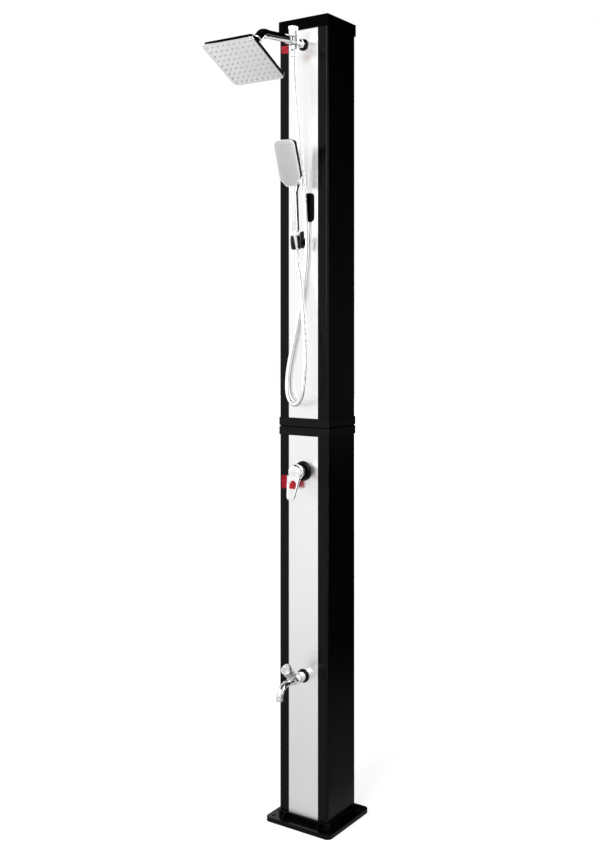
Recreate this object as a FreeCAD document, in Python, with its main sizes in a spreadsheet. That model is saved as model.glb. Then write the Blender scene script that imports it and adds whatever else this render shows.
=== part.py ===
"""Outdoor shower post: a two-section solar column with rain head, hand shower, mixer and foot tap.

Frame: millimetres, +Z up, the front of the column faces -Y, +X is on the right of someone who
faces the front. The origin is the centre of the base plate's underside.
"""
import FreeCAD, Part
import Sketcher
import math
import os

os.makedirs("parts", exist_ok=True)

Vector = FreeCAD.Vector
Rotation = FreeCAD.Rotation
Placement = FreeCAD.Placement

doc = FreeCAD.newDocument("ShowerPost")


# ---------------------------------------------------------------- driving dimensions

DIMENSIONS = [
    # column
    ("post_width", 156, "column, left to right"),
    ("post_depth", 140, "column, front to back"),
    ("post_round", 6, "outer corner radius of the column"),
    ("wall", 3, "column wall"),
    ("total_height", 2170, "floor to the top of the cap"),
    ("joint_low", 1069, "top of the lower section"),
    ("joint_gap", 3.4, "gasket between the sections"),
    ("collar_height", 22, "each joint collar"),
    ("collar_lip", 2.2, "collar wall outside the column"),
    ("cap_height", 31.5, "skirt of the top cap"),
    ("cap_lip", 2.5, "cap wall outside the column"),
    ("cap_top", 4, "cap thickness over the column"),
    ("panel_width", 94, "front panels"),
    ("panel_thick", 1.2, "front panel sheet"),
    ("panel_recess", 1.5, "depth of the panel recess"),
    # base
    ("base_width", 208, "base plate, left to right"),
    ("base_depth", 206, "base plate, front to back"),
    ("base_round", 15, "base plate corners"),
    ("base_thick", 12, "base plate"),
    ("skirt_top", 26, "height of the skirt above the floor"),
    ("skirt_wall", 4, "skirt wall outside the column"),
    ("spigot_top", 52, "height of the spigot inside the column"),
    ("spigot_wall", 4, "spigot wall"),
    ("anchor_x", 86, "anchor holes from the centre, sideways"),
    ("anchor_y", 85, "anchor holes from the centre, front and back"),
    ("anchor_radius", 4.5, "anchor holes"),
    ("rib_inset", 22, "gusset ribs, in from the column's corners"),
    ("rib_reach", 16, "gusset ribs, out from the skirt"),
    ("rib_thick", 3, "gusset ribs"),
    # fastenings
    ("screw_radius", 2, "self-tapping screws"),
    ("screw_head", 4, "screw head radius"),
    ("screw_head_height", 2.4, "screw head height"),
    # end plugs and the tank joint
    ("plug_thick", 12, "tank end plugs"),
    ("sleeve_height", 90, "joint sleeve"),
    ("transfer_radius", 14, "transfer tube, outside"),
    ("transfer_y", 20, "transfer tube, behind the centre"),
    ("seal_wire", 1.9, "O-ring section radius"),
    # pipes
    ("pipe_radius", 8, "inner pipes, outside"),
    ("pipe_bore", 6, "inner pipes, inside"),
    ("supply_y", 52, "cold pipe, behind the centre"),
    ("riser_x", 22, "hot and mixed pipes, from the centre"),
    ("riser_y", -40, "hot and mixed pipes, towards the front"),
    ("inlet_height", 110, "rear hose inlet"),
    ("inlet_radius", 10.48, "inlet thread, half of G 1/2"),
    ("inlet_length", 14, "inlet thread"),
    ("inlet_bore", 6.5, "inlet bore"),
    ("drain_height", 86, "drain plug"),
    # fitting heights
    ("tap_height", 403, "foot tap axis"),
    ("mixer_height", 953, "mixer axis"),
    ("diverter_height", 2097, "diverter and arm axis"),
    ("holder_height", 1545, "lower end of the hose's cone nut"),
    ("display_height", 1659, "centre of the display"),
    # diverter and arm
    ("valve_out", 47, "diverter axis in front of the panel"),
    ("valve_radius", 12, "diverter barrel"),
    ("knob_radius", 13.5, "diverter knob"),
    ("knob_height", 30, "diverter knob"),
    ("arm_radius", 11, "arm tube, outside"),
    ("arm_bore", 9, "arm tube, inside"),
    ("arm_reach", 188.5, "elbow corner in front of the panel"),
    ("arm_sag", 5.5, "arm falls towards the elbow, degrees"),
    ("arm_drop", 45, "outlet below the horizontal, degrees"),
    ("arm_bend", 30, "elbow radius"),
    ("arm_outlet", 46, "elbow corner to the arm's end"),
    ("ball_reach", 92, "elbow corner to the ball's centre"),
    ("ball_radius", 10, "ball of the head joint"),
    # rain head
    ("head_tilt", 28.2, "spray face against the horizontal, degrees"),
    ("head_side", 156, "square head"),
    ("head_thick", 10.5, "head shell"),
    ("head_round", 10, "corners of the head, in plan"),
    ("ball_above_face", 28, "ball's centre above the spray face"),
    ("rain_pitch", 16.6, "nozzle pitch of the rain head"),
    ("rain_rows", 9, "nozzle rows of the rain head"),
    # hand shower
    ("hand_out", 33, "lower end of the cone nut in front of the panel"),
    ("hand_lean", 5.5, "handle leans forward, degrees"),
    ("cone_low", 8, "cone nut, lower radius"),
    ("cone_high", 11, "cone nut, upper radius"),
    ("cone_length", 49, "cone nut"),
    ("grip_low", 17.5, "handle width at the bottom"),
    ("grip_high", 20, "handle width at the top"),
    ("grip_length", 104, "handle"),
    ("spray_width", 66, "head of the hand shower"),
    ("spray_length", 124, "head of the hand shower"),
    ("spray_thick", 13.5, "head of the hand shower"),
    ("spray_lean", 12.3, "head against the handle, degrees"),
    ("hand_pitch", 7, "nozzle pitch of the hand shower"),
    ("hose_radius", 6.25, "hose, outside"),
    ("hose_bore", 4, "hose, inside"),
    ("clip_radius", 14.2, "cone clip of the holder"),
    ("clip_height", 37, "cone clip of the holder"),
    ("clip_slot", 12.8, "opening of the cone clip"),
    ("clip_turn", 38, "opening turned to the right, degrees"),
    ("clip_slant", 11, "opening against the clip's axis, degrees"),
    # display
    ("display_width", 32, "display case"),
    ("display_length", 77, "display case, upright"),
    ("display_x", 18.5, "display's middle, right of the column's middle"),
    ("display_thick", 4, "display case"),
    ("display_round", 11, "display corners"),
    # mixer
    ("mixer_pivot", 26, "lever's lifting axis in front of the panel"),
    ("lever_radius", 21.5, "lever dome"),
    ("lever_end", 12.5, "lever end radius"),
    ("lever_length", 62, "dome centre to the end's centre"),
    ("lever_slope", 15, "lever leans out, degrees"),
    ("lever_thick", 7, "lever plate"),
    # foot tap
    ("tap_out", 41, "tap's centre in front of the panel"),
    ("tap_incline", 45, "headgear above the horizontal, degrees"),
    ("tap_knob_radius", 15, "tap knob"),
    ("tap_knob_face", 56, "tap's centre to the knob's face"),
    ("tap_knob_length", 23, "tap knob"),
    ("spout_reach", 110, "spout outlet in front of the panel"),
    ("spout_drop", 36, "spout outlet below the tap axis"),
    ("spout_bend", 32, "bend of the spout"),
    ("spout_radius", 8.6, "spout tube, outside"),
]

sheet = doc.addObject("Spreadsheet::Sheet", "Dims")
for row, (alias, value, note) in enumerate(DIMENSIONS, start=1):
    sheet.set(f"A{row}", alias)
    sheet.set(f"B{row}", str(value))
    sheet.setAlias(f"B{row}", alias)
    sheet.set(f"C{row}", note)
doc.recompute()


class Size:
    """A size as a number and as the expression that works it out from the sheet."""

    def __init__(self, text, value):
        self.text = text
        self.value = float(value)

    def __float__(self):
        return self.value

    def _with(self, other, sign, swap=False):
        other = as_size(other)
        left, right = (other, self) if swap else (self, other)
        value = {"+": left.value + right.value, "-": left.value - right.value,
                 "*": left.value * right.value}.get(sign)
        if value is None:
            value = left.value / right.value
        return Size(f"({left.text} {sign} {right.text})", value)

    def __add__(self, other):
        return self._with(other, "+")

    def __radd__(self, other):
        return self._with(other, "+", swap=True)

    def __sub__(self, other):
        return self._with(other, "-")

    def __rsub__(self, other):
        return self._with(other, "-", swap=True)

    def __mul__(self, other):
        return self._with(other, "*")

    def __rmul__(self, other):
        return self._with(other, "*", swap=True)

    def __truediv__(self, other):
        return self._with(other, "/")

    def __neg__(self):
        return 0 - self


def as_size(value):
    """Return value as a Size, so that plain numbers mix with sizes from the sheet."""
    return value if isinstance(value, Size) else Size(repr(value), value)


class Dimensions:
    """Gives each cell of the sheet as a Size under its alias."""

    def __getattr__(self, alias):
        return Size("Dims." + alias, sheet.get(alias))


dim = Dimensions()

# Sizes that several pieces share.
half_width = dim.post_width / 2
half_depth = dim.post_depth / 2
front = -half_depth
rear = half_depth
inner_width = dim.post_width - 2 * dim.wall
inner_depth = dim.post_depth - 2 * dim.wall
inner_round = dim.post_round - dim.wall
inner_front = front + dim.wall
panel_face = front + dim.panel_recess - dim.panel_thick
inner_rear = rear - dim.wall
joint_high = dim.joint_low + dim.joint_gap
column_top = dim.total_height - dim.cap_top


# ---------------------------------------------------------------- building helpers

FACINGS = {
    "up": Rotation(),
    "down": Rotation(Vector(1, 0, 0), 180),
    "front": Rotation(Vector(1, 0, 0), 90),
    "back": Rotation(Vector(1, 0, 0), -90),
    "right": Rotation(Vector(0, 1, 0), 90),
    "left": Rotation(Vector(0, 1, 0), -90),
}
NODES = []


def keep(name, obj):
    """Label obj as a finished sub-part."""
    obj.Label = name
    NODES.append(obj)
    return obj


def bind(obj, **sizes):
    """Bind properties of obj to expressions on the sheet."""
    for prop, size in sizes.items():
        obj.setExpression(prop.replace("__", "."), as_size(size).text)


def place(obj, x, y, z, facing="up"):
    """Place obj at a point given by sizes; its own Z axis then points in the facing direction."""
    obj.Placement = Placement(Vector(float(x), float(y), float(z)), FACINGS[facing])
    bind(obj, Placement__Base__x=x, Placement__Base__y=y, Placement__Base__z=z)


def box(name, x_range, y_range, z_range):
    """A box between pairs of sizes."""
    obj = doc.addObject("Part::Box", name)
    low = [pair[0] for pair in (x_range, y_range, z_range)]
    place(obj, *low)
    bind(obj, Length=as_size(x_range[1]) - x_range[0], Width=as_size(y_range[1]) - y_range[0],
         Height=as_size(z_range[1]) - z_range[0])
    return obj


def rod(name, radius, length, x, y, z, facing="up"):
    """A cylinder that starts at a point and runs in the facing direction."""
    obj = doc.addObject("Part::Cylinder", name)
    bind(obj, Radius=radius, Height=length)
    place(obj, x, y, z, facing)
    return obj


def hexagon(name, across_flats, length, x, y, z, facing="up"):
    """A hexagonal prism with its two ends chamfered as on a nut."""
    prism = doc.addObject("Part::Prism", name + "_prism")
    prism.Polygon = 6
    bind(prism, Circumradius=as_size(across_flats) / 3 ** 0.5, Height=length)
    place(prism, x, y, z, facing)
    half = as_size(across_flats) / 2
    corner = half * 1.155
    blank = turned(name + "_turning", [(0, 0), (half, 0), (corner, 1.2), (corner, length - 1.2),
                                       (half, length), (0, length)], x, y, z, facing)
    return common(name, prism, blank)


def fuse(name, *shapes):
    """The union of several objects."""
    obj = doc.addObject("Part::MultiFuse", name)
    obj.Shapes = list(shapes)
    return obj


def cut(name, base, *tools):
    """Base without the tools."""
    obj = doc.addObject("Part::Cut", name)
    obj.Base = base
    obj.Tool = tools[0] if len(tools) == 1 else fuse(name + "_tools", *tools)
    return obj


def common(name, first, second):
    """The space that two objects share."""
    obj = doc.addObject("Part::Common", name)
    obj.Base = first
    obj.Tool = second
    return obj


def plane_of(body, role):
    """The origin plane of a body, found by its role."""
    return next(item for item in body.Origin.OriginFeatures if item.Role == role)


def new_sketch(body, name, role):
    """A sketch on one of the body's own origin planes."""
    sketch = body.newObject("Sketcher::SketchObject", name)
    sketch.AttachmentSupport = [(plane_of(body, role), "")]
    sketch.MapMode = "FlatFace"
    return sketch


def upright_edges(shape):
    """Names of the straight edges parallel to Z."""
    names = []
    for number, edge in enumerate(shape.Edges, start=1):
        run = edge.Vertexes[-1].Point - edge.Vertexes[0].Point
        if abs(run.z) > 0.999 * max(run.Length, 0.001):
            names.append(f"Edge{number}")
    return names


def edges_at(shape, height):
    """Names of the edges that lie at one height."""
    names = []
    for number, edge in enumerate(shape.Edges, start=1):
        bounds = edge.BoundBox
        if abs(bounds.ZMin - height) < 0.01 and abs(bounds.ZMax - height) < 0.01:
            names.append(f"Edge{number}")
    return names


def rounded(name, width, depth, radius, z_range, x=0, y=0, top_round=None, low_round=None):
    """A block with rounded upright corners, centred on (x, y), its ends rounded if asked."""
    body = doc.addObject("PartDesign::Body", name)
    sketch = new_sketch(body, name + "_outline", "XY_Plane")
    half_w, half_d = float(width) / 2, float(depth) / 2
    corners = [(-half_w, -half_d), (half_w, -half_d), (half_w, half_d), (-half_w, half_d)]
    for number, (start, end) in enumerate(zip(corners, corners[1:] + corners[:1])):
        sketch.addGeometry(Part.LineSegment(Vector(*start, 0), Vector(*end, 0)))
        sketch.addConstraint(Sketcher.Constraint("Vertical" if number % 2 else "Horizontal", number))
    for number in range(4):
        sketch.addConstraint(Sketcher.Constraint("Coincident", number, 2, (number + 1) % 4, 1))
    sketch.addConstraint(Sketcher.Constraint("Symmetric", 0, 1, 1, 2, -1, 1))
    wide = sketch.addConstraint(Sketcher.Constraint("DistanceX", 0, 1, 0, 2, 2 * half_w))
    deep = sketch.addConstraint(Sketcher.Constraint("DistanceY", 1, 1, 1, 2, 2 * half_d))
    sketch.setExpression(f"Constraints[{wide}]", as_size(width).text)
    sketch.setExpression(f"Constraints[{deep}]", as_size(depth).text)
    pad = body.newObject("PartDesign::Pad", name + "_pad")
    pad.Profile = sketch
    height = as_size(z_range[1]) - z_range[0]
    bind(pad, Length=height)
    doc.recompute()
    last = pad
    finishes = [(radius, upright_edges)]
    if top_round is not None:
        finishes.append((top_round, lambda shape: edges_at(shape, float(height))))
    if low_round is not None:
        finishes.append((low_round, lambda shape: edges_at(shape, 0)))
    for size, chosen in finishes:
        fillet = body.newObject("PartDesign::Fillet", name + "_round")
        fillet.Base = (last, chosen(last.Shape))
        bind(fillet, Radius=size)
        doc.recompute()
        last = fillet
    place(body, x, y, z_range[0])
    return body


def turned(name, profile, x, y, z, facing="up"):
    """A turned piece: (radius, height) corners revolved about the axis that faces as given."""
    body = doc.addObject("PartDesign::Body", name)
    sketch = new_sketch(body, name + "_profile", "XZ_Plane")
    corners = [Vector(float(radius), float(height), 0) for radius, height in profile]
    for start, end in zip(corners, corners[1:] + corners[:1]):
        sketch.addGeometry(Part.LineSegment(start, end))
    count = len(corners)
    for number in range(count):
        sketch.addConstraint(Sketcher.Constraint("Coincident", number, 2, (number + 1) % count, 1))
    for number, (radius, height) in enumerate(profile):
        for kind, size in (("DistanceX", as_size(radius)), ("DistanceY", as_size(height))):
            index = sketch.addConstraint(
                Sketcher.Constraint(kind, -1, 1, number, 1, size.value))
            if "Dims" in size.text:
                sketch.setExpression(f"Constraints[{index}]", size.text)
    turn = body.newObject("PartDesign::Revolution", name + "_turn")
    turn.Profile = sketch
    turn.ReferenceAxis = (sketch, ["V_Axis"])
    turn.Angle = 360
    place(body, x, y, z, facing)
    return body


def fixed_shape(name, shape, placement=None):
    """A feature that holds a shape made with Part's own functions."""
    obj = doc.addObject("Part::Feature", name)
    obj.Shape = shape
    if placement is not None:
        obj.Placement = placement
    return obj


def rounded_path(points, widest=None):
    """Straight runs joined by tangent arcs, and the arcs' radii.

    Each arc is as large as 0.45 of the shorter run allows, or widest where that is less.
    """
    points = [Vector(*point) for point in points]
    edges, radii = [], []
    start = points[0]
    for before, corner, after in zip(points, points[1:], points[2:]):
        to_corner, from_corner = corner - before, after - corner
        half_turn = to_corner.getAngle(from_corner) / 2
        radius = 0.45 * min(to_corner.Length, from_corner.Length) / math.tan(half_turn)
        if widest is not None:
            radius = min(radius, widest)
        cut_back = radius * math.tan(half_turn)
        to_corner.normalize()
        from_corner.normalize()
        arc_start = corner - to_corner * cut_back
        arc_end = corner + from_corner * cut_back
        inward = (from_corner - to_corner).normalize()
        middle = corner + inward * (radius / math.cos(half_turn) - radius)
        edges.append(Part.LineSegment(start, arc_start).toShape())
        edges.append(Part.Arc(arc_start, middle, arc_end).toShape())
        radii.append(radius)
        start = arc_end
    edges.append(Part.LineSegment(start, points[-1]).toShape())
    return Part.Wire(edges), radii


def swept(path, radius):
    """A round solid along a path, its volume held against section times length."""
    first = path.Edges[0]
    heading = first.tangentAt(first.FirstParameter)
    ring = Part.Wire(Part.Circle(path.Vertexes[0].Point, heading, radius).toShape())
    solid = path.makePipeShell([ring], True, False)
    expected = math.pi * radius ** 2 * path.Length
    assert abs(solid.Volume / expected - 1) < 0.01, "a swept tube has the wrong volume"
    return solid


def tube(name, points, outer, inner, widest=None):
    """A tube along straight runs and arcs."""
    path, radii = rounded_path(points, widest)
    solid = swept(path, float(outer)).cut(swept(path, float(inner)))
    print(f"{name}: length {path.Length:.1f}, radii {[round(radius, 1) for radius in radii]}")
    return fixed_shape(name, solid)


def straight_tube(name, x, y, z_range):
    """An upright length of the inner pipe."""
    length = as_size(z_range[1]) - z_range[0]
    return cut(name, rod(name + "_outside", dim.pipe_radius, length, x, y, z_range[0]),
               rod(name + "_bore", dim.pipe_bore, length, x, y, z_range[0]))


def tangent_outline(near_radius, far_radius, distance):
    """The outline round two circles on the local Y axis, the far one at -distance."""
    lean = math.asin((near_radius - far_radius) / distance)
    side = Vector(math.cos(lean), -math.sin(lean), 0)
    mirror = Vector(-side.x, side.y, 0)
    near, far = Vector(0, 0, 0), Vector(0, -distance, 0)
    top = near + Vector(0, near_radius, 0)
    bottom = far - Vector(0, far_radius, 0)
    corners = [near + side * near_radius, near + mirror * near_radius,
               far + mirror * far_radius, far + side * far_radius]
    return Part.Wire([
        Part.Arc(corners[0], top, corners[1]).toShape(),
        Part.LineSegment(corners[1], corners[2]).toShape(),
        Part.Arc(corners[2], bottom, corners[3]).toShape(),
        Part.LineSegment(corners[3], corners[0]).toShape(),
    ])


def screws(name, spots, facing):
    """A group of pan-head screws; each spot is where a head meets its seat."""
    shapes = []
    for x, y, z in spots:
        shank_length = 11
        shank = Part.makeCylinder(float(dim.screw_radius), shank_length, Vector(0, 0, -shank_length))
        head = Part.makeCylinder(float(dim.screw_head), float(dim.screw_head_height))
        head = head.makeFillet(1.2, [head.Edges[0]])
        slot = Part.makeBox(6, 1, 1, Vector(-3, -0.5, float(dim.screw_head_height) - 0.9))
        screw = shank.fuse(head).cut(slot)
        side = FACINGS[facing(x)] if callable(facing) else FACINGS[facing]
        screw.Placement = Placement(Vector(x, y, z), side)
        shapes.append(screw)
    return keep(name, fixed_shape(name, Part.makeCompound(shapes)))


# ---------------------------------------------------------------- base

def make_base():
    """The base flange with its skirt, spigot, ribs and anchor holes, and the column's screws."""
    skirt_width = dim.post_width + 2 * dim.skirt_wall
    skirt_depth = dim.post_depth + 2 * dim.skirt_wall
    plate = rounded("base_plate", dim.base_width, dim.base_depth, dim.base_round,
                    (0, dim.base_thick), top_round=1.5)
    skirt = rounded("base_skirt", skirt_width, skirt_depth, dim.post_round + dim.skirt_wall,
                    (dim.base_thick / 2, dim.skirt_top), top_round=1.5)
    socket = rounded("base_socket", dim.post_width, dim.post_depth, dim.post_round,
                     (dim.base_thick, dim.skirt_top + 1))
    spigot = rounded("base_spigot", inner_width, inner_depth, inner_round,
                     (dim.base_thick / 2, dim.spigot_top))
    hollow = rounded("base_hollow", inner_width - 2 * dim.spigot_wall,
                     inner_depth - 2 * dim.spigot_wall, 2, (dim.base_thick, dim.spigot_top + 1))
    flange = fuse("base_blank", cut("base_ring", fuse("base_body", plate, skirt), socket),
                  cut("base_spigot_ring", spigot, hollow), *make_ribs())
    anchors = [rod(f"anchor_hole_{side_x}_{side_y}", dim.anchor_radius, dim.base_thick + 2,
                   side_x * dim.anchor_x, side_y * dim.anchor_y, -1)
               for side_x in (-1, 1) for side_y in (-1, 1)]
    keep("base_flange", cut("base_flange_solid", flange, *anchors, *side_screw_holes("base")))
    seat = float(half_width + dim.skirt_wall)
    spots = [(side * seat, y, SIDE_SCREW_HEIGHT) for side in (-1, 1) for y in SIDE_SCREW_Y]
    screws("base_screws", spots, lambda x: "right" if x > 0 else "left")


SIDE_SCREW_HEIGHT = 19
SIDE_SCREW_Y = (-35, 35)


def side_screw_holes(owner):
    """Holes for the screws that hold the column in the base."""
    return [rod(f"{owner}_screw_hole_{y}", dim.screw_radius, dim.base_width, -dim.base_width / 2, y,
                SIDE_SCREW_HEIGHT, "right") for y in SIDE_SCREW_Y]


def make_ribs():
    """Eight gusset ribs, two on each side of the skirt."""
    height = float(dim.skirt_top - dim.base_thick) - 2
    reach = float(dim.rib_reach)
    thick = float(dim.rib_thick)
    profile = Part.Face(Part.makePolygon([
        Vector(-1, 0, -1), Vector(reach, 0, -1), Vector(reach, 0, 0.5), Vector(0, 0, height),
        Vector(-1, 0, height), Vector(-1, 0, -1)]))
    rib = profile.extrude(Vector(0, thick, 0))
    rib.translate(Vector(0, -thick / 2, 0))
    sides = [
        (0, float(half_width + dim.skirt_wall), float(half_depth)),
        (90, float(half_depth + dim.skirt_wall), float(half_width)),
    ]
    ribs = []
    for angle, offset, half_span in sides:
        for half_turn in (0, 180):
            for side in (-1, 1):
                copy = rib.copy()
                copy.translate(Vector(offset, side * (half_span - float(dim.rib_inset)),
                                      float(dim.base_thick)))
                copy.rotate(Vector(), Vector(0, 0, 1), angle + half_turn)
                ribs.append(fixed_shape("base_rib", copy))
    return ribs


# ---------------------------------------------------------------- column

def section(name, z_range, holes):
    """One hollow column section with the recess for its front panel, and its holes cut."""
    outside = rounded(name + "_outside", dim.post_width, dim.post_depth, dim.post_round, z_range)
    inside = rounded(name + "_inside", inner_width, inner_depth, inner_round,
                     (z_range[0] - 1, z_range[1] + 1))
    recess = box(name + "_recess", (-dim.panel_width / 2, dim.panel_width / 2),
                 (front - 1, front + dim.panel_recess), (z_range[0] - 1, z_range[1] + 1))
    return keep(name, cut(name + "_solid", outside, inside, recess, *holes))


def front_hole(name, radius, height):
    """A round hole through the panel and the front wall."""
    return rod(name, radius, 20, 0, front - 5, height, "back")


def panel(name, z_range, holes):
    """A front panel that lies in its section's recess."""
    sheet_metal = box(name + "_sheet", (-dim.panel_width / 2, dim.panel_width / 2),
                      (panel_face, panel_face + dim.panel_thick), z_range)
    return keep(name, cut(name + "_solid", sheet_metal, *holes))


def make_column():
    """The two sections, their panels, the joint between them and the cap."""
    tank_low = (dim.base_thick, dim.joint_low)
    tank_high = (joint_high, column_top)
    rear_screws = [(x, z) for x in (-40, 40)
                   for z in (float(dim.joint_low) - 33, float(joint_high) + 33)]

    def rear_holes(owner, heights):
        return [rod(f"{owner}_joint_hole_{x}_{z:.0f}", dim.screw_radius, 20, x, inner_rear - 10, z,
                    "back") for x, z in rear_screws if heights[0] < z < heights[1]]

    lower_holes = [front_hole("tap_hole", TAP_SHANK, dim.tap_height),
                   front_hole("mixer_hole", MIXER_SHANK, dim.mixer_height)]
    upper_holes = [front_hole("diverter_hole", VALVE_SHANK, dim.diverter_height)]
    section("lower_tank", tank_low, lower_holes + side_screw_holes("lower") + [
        rod("inlet_hole", INLET_SHANK, 20, 0, inner_rear - 5, dim.inlet_height, "back"),
        rod("drain_hole", DRAIN_SHANK, 20, DRAIN_X, inner_rear - 5, dim.drain_height, "back"),
        *rear_holes("lower", (0, float(dim.joint_low)))])
    section("upper_tank", tank_high, upper_holes + rear_holes(
        "upper", (float(joint_high), float(column_top))))
    panel("lower_front_panel", (dim.skirt_top, dim.joint_low - dim.collar_height), lower_holes)
    panel("upper_front_panel", (joint_high + dim.collar_height, dim.total_height - dim.cap_height),
          upper_holes)
    make_joint(rear_screws)
    outer = rounded("cap_outside", dim.post_width + 2 * dim.cap_lip, dim.post_depth + 2 * dim.cap_lip,
                    dim.post_round - 2, (dim.total_height - dim.cap_height, dim.total_height),
                    top_round=1.8)
    inner = rounded("cap_inside", dim.post_width, dim.post_depth, dim.post_round,
                    (dim.total_height - dim.cap_height - 1, column_top))
    keep("top_cap", cut("top_cap_solid", outer, inner))


def ring(name, lip, z_range, inner, edge_round=None):
    """A band round the column."""
    outside = rounded(name + "_outside", dim.post_width + 2 * lip, dim.post_depth + 2 * lip,
                      dim.post_round, z_range, top_round=edge_round, low_round=edge_round)
    return keep(name, cut(name + "_band", outside, inner))


def make_joint(rear_screws):
    """The collars, gasket, sleeve and screws that join the two sections."""
    span = (dim.joint_low - dim.collar_height - 1, joint_high + dim.collar_height + 1)
    core = rounded("joint_core", dim.post_width, dim.post_depth, dim.post_round, span)
    ring("lower_collar", dim.collar_lip, (dim.joint_low - dim.collar_height, dim.joint_low), core, 0.8)
    ring("upper_collar", dim.collar_lip, (joint_high, joint_high + dim.collar_height), core, 0.8)
    opening = rounded("joint_opening", inner_width, inner_depth, inner_round, span)
    ring("joint_gasket", 0, (dim.joint_low, joint_high), opening)
    middle = dim.joint_low + dim.joint_gap / 2
    sleeve = rounded("sleeve_outside", inner_width, inner_depth, inner_round,
                     (middle - dim.sleeve_height / 2, middle + dim.sleeve_height / 2))
    hollow = rounded("sleeve_inside", inner_width - 2 * dim.wall, inner_depth - 2 * dim.wall, 2,
                     (middle - dim.sleeve_height, middle + dim.sleeve_height))
    holes = [rod(f"sleeve_hole_{x}_{z:.0f}", dim.screw_radius, 20, x, inner_rear - 10, z, "back")
             for x, z in rear_screws]
    keep("joint_sleeve", cut("joint_sleeve_solid", sleeve, hollow, *holes))
    screws("joint_screws", [(x, float(rear), z) for x, z in rear_screws], "back")


def plug(name, z_low, holes):
    """A tank end plug."""
    block = rounded(name + "_block", inner_width, inner_depth, inner_round,
                    (z_low, z_low + dim.plug_thick))
    return keep(name, cut(name + "_solid", block, *holes) if holes else block)


def make_plugs():
    """The four tank ends, the transfer tube through the joint and its O-rings."""
    middle = dim.joint_low + dim.joint_gap / 2
    lower_top = middle - dim.sleeve_height / 2 - 6 - dim.plug_thick
    upper_base = middle + dim.sleeve_height / 2 + 6
    pipe_holes = [rod(f"riser_hole_{side}", dim.pipe_radius, dim.sleeve_height + 60,
                      side * dim.riser_x, dim.riser_y, lower_top - 5) for side in (-1, 1)]
    transfer_low = lower_top - 8
    transfer_length = upper_base + dim.plug_thick + 8 - transfer_low
    through = rod("transfer_hole", dim.transfer_radius, transfer_length, 0, dim.transfer_y,
                  transfer_low)
    groove = dim.transfer_radius + 2 * dim.seal_wire + 0.2
    seats = [rod("lower_seal_seat", groove, 5, 0, dim.transfer_y, lower_top + dim.plug_thick - 4),
             rod("upper_seal_seat", groove, 5, 0, dim.transfer_y, upper_base - 1)]
    plug("lower_tank_base_plug", dim.spigot_top + 8, [])
    plug("lower_tank_top_plug", lower_top, pipe_holes + [through, seats[0]])
    plug("upper_tank_base_plug", upper_base, pipe_holes + [through, seats[1]])
    plug("upper_tank_top_plug", column_top - 30 - dim.plug_thick, [])
    outside = rod("transfer_outside", dim.transfer_radius, transfer_length, 0, dim.transfer_y,
                  transfer_low)
    inside = rod("transfer_inside", dim.transfer_radius - 3, transfer_length, 0, dim.transfer_y,
                 transfer_low)
    keep("transfer_tube", cut("transfer_tube_solid", outside, inside))
    heights = (lower_top + dim.plug_thick - 2, upper_base + 2)
    rings = []
    for number, height in enumerate(heights):
        seal = doc.addObject("Part::Torus", f"transfer_seal_{number}")
        bind(seal, Radius1=dim.transfer_radius + dim.seal_wire + 0.1, Radius2=dim.seal_wire)
        place(seal, 0, dim.transfer_y, height)
        rings.append(seal)
    group = doc.addObject("Part::Compound", "transfer_seal_group")
    group.Links = rings
    keep("transfer_seals", group)


# ---------------------------------------------------------------- water supply

INLET_SHANK = 9
DRAIN_SHANK = 8
DRAIN_X = -45
TAP_SHANK = 9
MIXER_SHANK = 15
VALVE_SHANK = 9
RISER_TOP = 2108


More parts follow.
